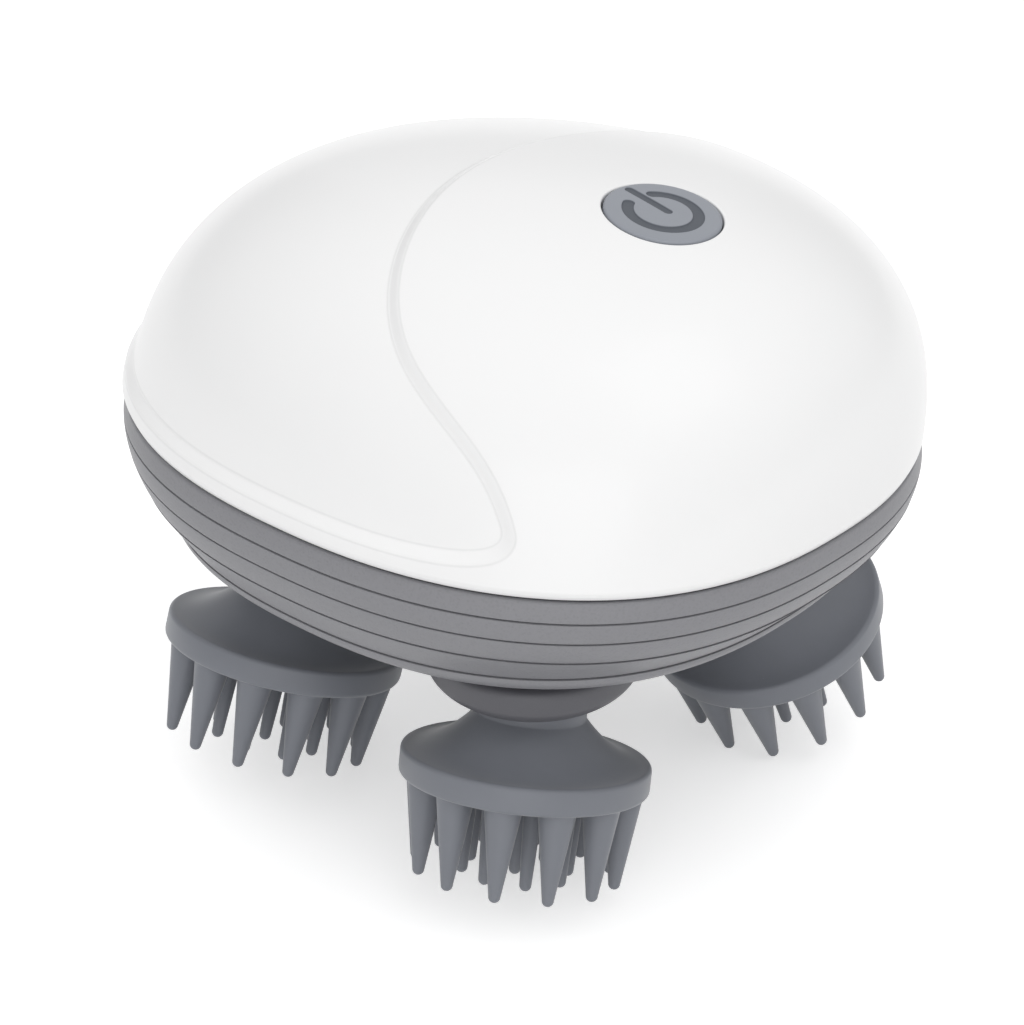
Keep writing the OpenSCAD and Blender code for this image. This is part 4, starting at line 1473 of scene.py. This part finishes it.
# --------------------------------------------------------------------------- inner pieces
@dataclass
class InnerPieces:
    """Finishes for the CAD nodes that keep their own meshes."""

    finishes: dict[str, Finish] = field(default_factory=lambda: {
        "seam_gasket": SEAL_RUBBER, "underside_plate": BELLY_GRAIN, "button_housing": INNER_PLASTIC,
        "button_board": BOARD, "tact_switch": STEEL, "button_bracket": INNER_PLASTIC,
        "head_core": ACETAL, "crank_shaft": STEEL, "crank_gear": ACETAL, "shaft_bush": BRONZE,
        "shaft_seal": SEAL_RUBBER, "inner_frame": INNER_PLASTIC, "centre_pin": STEEL,
        "centre_wheel": ACETAL, "pinion": BRONZE, "motor_shaft": STEEL, "motor": MOTOR_STEEL,
        "battery": CELL_WRAP, "charging_board": BOARD, "charging_socket": STEEL,
        "frame_screws": STEEL,
    })

    def dress(self) -> None:
        """Gives every node that is still shown its finish."""
        for name, node in frame["nodes"].items():
            finish = next((f for key, f in self.finishes.items() if name.startswith(key)), None)
            if finish is None or node.hide_render:
                continue
            node.data.materials.clear()
            node.data.materials.append(finish.material())
            log.info("%s: %s", name, finish.name)


# --------------------------------------------------------------------------- studio
@dataclass(frozen=True)
class Lamp:
    """A square soft lamp that faces the object. Its place and side are in metres."""

    name: str
    place: tuple[float, float, float]
    side: float
    watts: float
    aim: tuple[float, float, float] = (0.0, 0.0, 0.05)

    def build(self) -> None:
        """Hangs the lamp."""
        data = bpy.data.lights.new(self.name, "AREA")
        data.size, data.energy = self.side, self.watts
        lamp = bpy.data.objects.new(self.name, data)
        lamp.location = self.place
        lamp.rotation_mode = "QUATERNION"
        ahead = Vector(self.aim) - Vector(self.place)
        lamp.rotation_quaternion = ahead.to_track_quat("-Z", "Y")
        bpy.context.scene.collection.objects.link(lamp)


@dataclass
class Studio:
    """Floor, lamps and the camera at the photograph's viewing angle."""

    middle_x: float
    azimuth_deg: float = -47.014
    elevation_deg: float = 31.184
    distance: float = 570.247
    focal_px: float = 3800.0
    long_side_px: float = 1025.0
    sensor_mm: float = 36.0
    clip: Point2 = (0.01, 20.0)
    aim: Point2 = (-1.85, 33.391)
    floor_half: float = 3.0
    floor_glow: float = 0.5
    fleck_mm: float = 1.5
    horizon: float = 0.36
    horizon_blue: float = 1.01
    zenith: float = 0.97
    rise: Point2 = (-0.1, 0.9)
    lamps: tuple[Lamp, ...] = (
        Lamp("key", (-0.1, -0.65, 1.1), 0.8, 1.7), Lamp("front", (-1.05, -0.75, 0.26), 0.9, 3.9),
        Lamp("side", (1.0, -0.55, 0.2), 0.7, 0.3), Lamp("back", (0.85, 0.8, 0.5), 0.7, 0.35))

    def build(self) -> None:
        """Makes all of the studio."""
        self.floor()
        self.world()
        for lamp in self.lamps:
            lamp.build()
        self.camera()
        bpy.context.scene.view_settings.view_transform = "Standard"

    def camera(self) -> None:
        """Sets the camera where the photograph was taken from."""
        a, e = math.radians(self.azimuth_deg), math.radians(self.elevation_deg)
        back = Vector((math.sin(a) * math.cos(e), -math.cos(a) * math.cos(e), math.sin(e)))
        right = Vector((math.cos(a), math.sin(a), 0.0))
        up = right.cross(-back)
        data = bpy.data.cameras.new("camera")
        data.sensor_width = self.sensor_mm
        data.lens = self.sensor_mm * self.focal_px / self.long_side_px
        data.clip_start, data.clip_end = self.clip
        camera = bpy.data.objects.new("camera", data)
        middle = Vector((self.middle_x, 0, 0)) + right * self.aim[0] + up * self.aim[1]
        camera.location = (middle + back * self.distance) * MM
        camera.rotation_mode = "QUATERNION"
        camera.rotation_quaternion = (-back).to_track_quat("-Z", "Y")
        bpy.context.scene.collection.objects.link(camera)
        bpy.context.scene.camera = camera

    def floor(self) -> None:
        """Makes the white floor, which keeps the object's shadow."""
        half = self.floor_half
        mesh = bpy.data.meshes.new("floor")
        corners = [(-half, -half, 0), (half, -half, 0), (half, half, 0), (-half, half, 0)]
        mesh.from_pydata(corners, [], [(0, 1, 2, 3)])
        floor = bpy.data.objects.new("floor", mesh)
        bpy.context.scene.collection.objects.link(floor)
        shader = Shader("floor_paper")
        direct, glossy, clear = (shader.node("ShaderNodeLightPath", output=f"Is {kind} Ray")
                                 for kind in ("Camera", "Glossy", "Transmission"))
        seen = direct.high(glossy).high(clear)
        fleck = shader.noise(self.fleck_mm, detail=2.0)
        paper = shader.mix(fleck, scaled(WHITE, 0.9), scaled(WHITE, 0.92))
        shader.set(Base_Color=paper, Roughness=0.9, Emission_Strength=self.floor_glow,
                   Emission_Color=shader.mix(seen, (0.0, 0.0, 0.0), (1.0, 1.0, 1.0)))
        floor.data.materials.append(shader.material)

    def world(self) -> None:
        """Makes a pale surround, brighter overhead, that the camera sees as white."""
        world = bpy.data.worlds.new("surround")
        world.use_nodes = True
        bpy.context.scene.world = world
        nodes = Nodes(world.node_tree)
        _, _, height = nodes.axes(nodes.node("ShaderNodeTexCoord", output="Generated"))
        low = (self.horizon, self.horizon, self.horizon * self.horizon_blue)
        sky = nodes.mix(height.step(*self.rise), low, (self.zenith, self.zenith, self.zenith))
        direct = nodes.node("ShaderNodeLightPath", output="Is Camera Ray")
        nodes.feed(world.node_tree.nodes["Background"].inputs["Color"],
                   nodes.mix(direct, sky, (1.0, 1.0, 1.0)))


def main() -> None:
    """Builds the housing, the heads, the inner pieces and the studio."""
    logging.basicConfig(level=logging.INFO, format="%(message)s")
    low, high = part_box("centre_pin")
    middle_x = (low.x + high.x) / 2 / MM
    outline = Outline(middle_x=middle_x)
    under_z, seam_z = (corner.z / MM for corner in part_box("lower_shell"))
    button = ButtonPlace(middle_x=middle_x)
    UpperShell(outline, seam_z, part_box("upper_shell")[0].z / MM, button).build()
    LowerShell(outline, under_z).build()
    PowerButton(button, MARK).build()
    for head, (lean, turn) in HEAD_ANGLES.items():
        MassageHead(head, lean_deg=lean, finger_turn_deg=turn).build()
    InnerPieces().dress()
    Studio(middle_x).build()


if __name__ == "__main__":
    main()
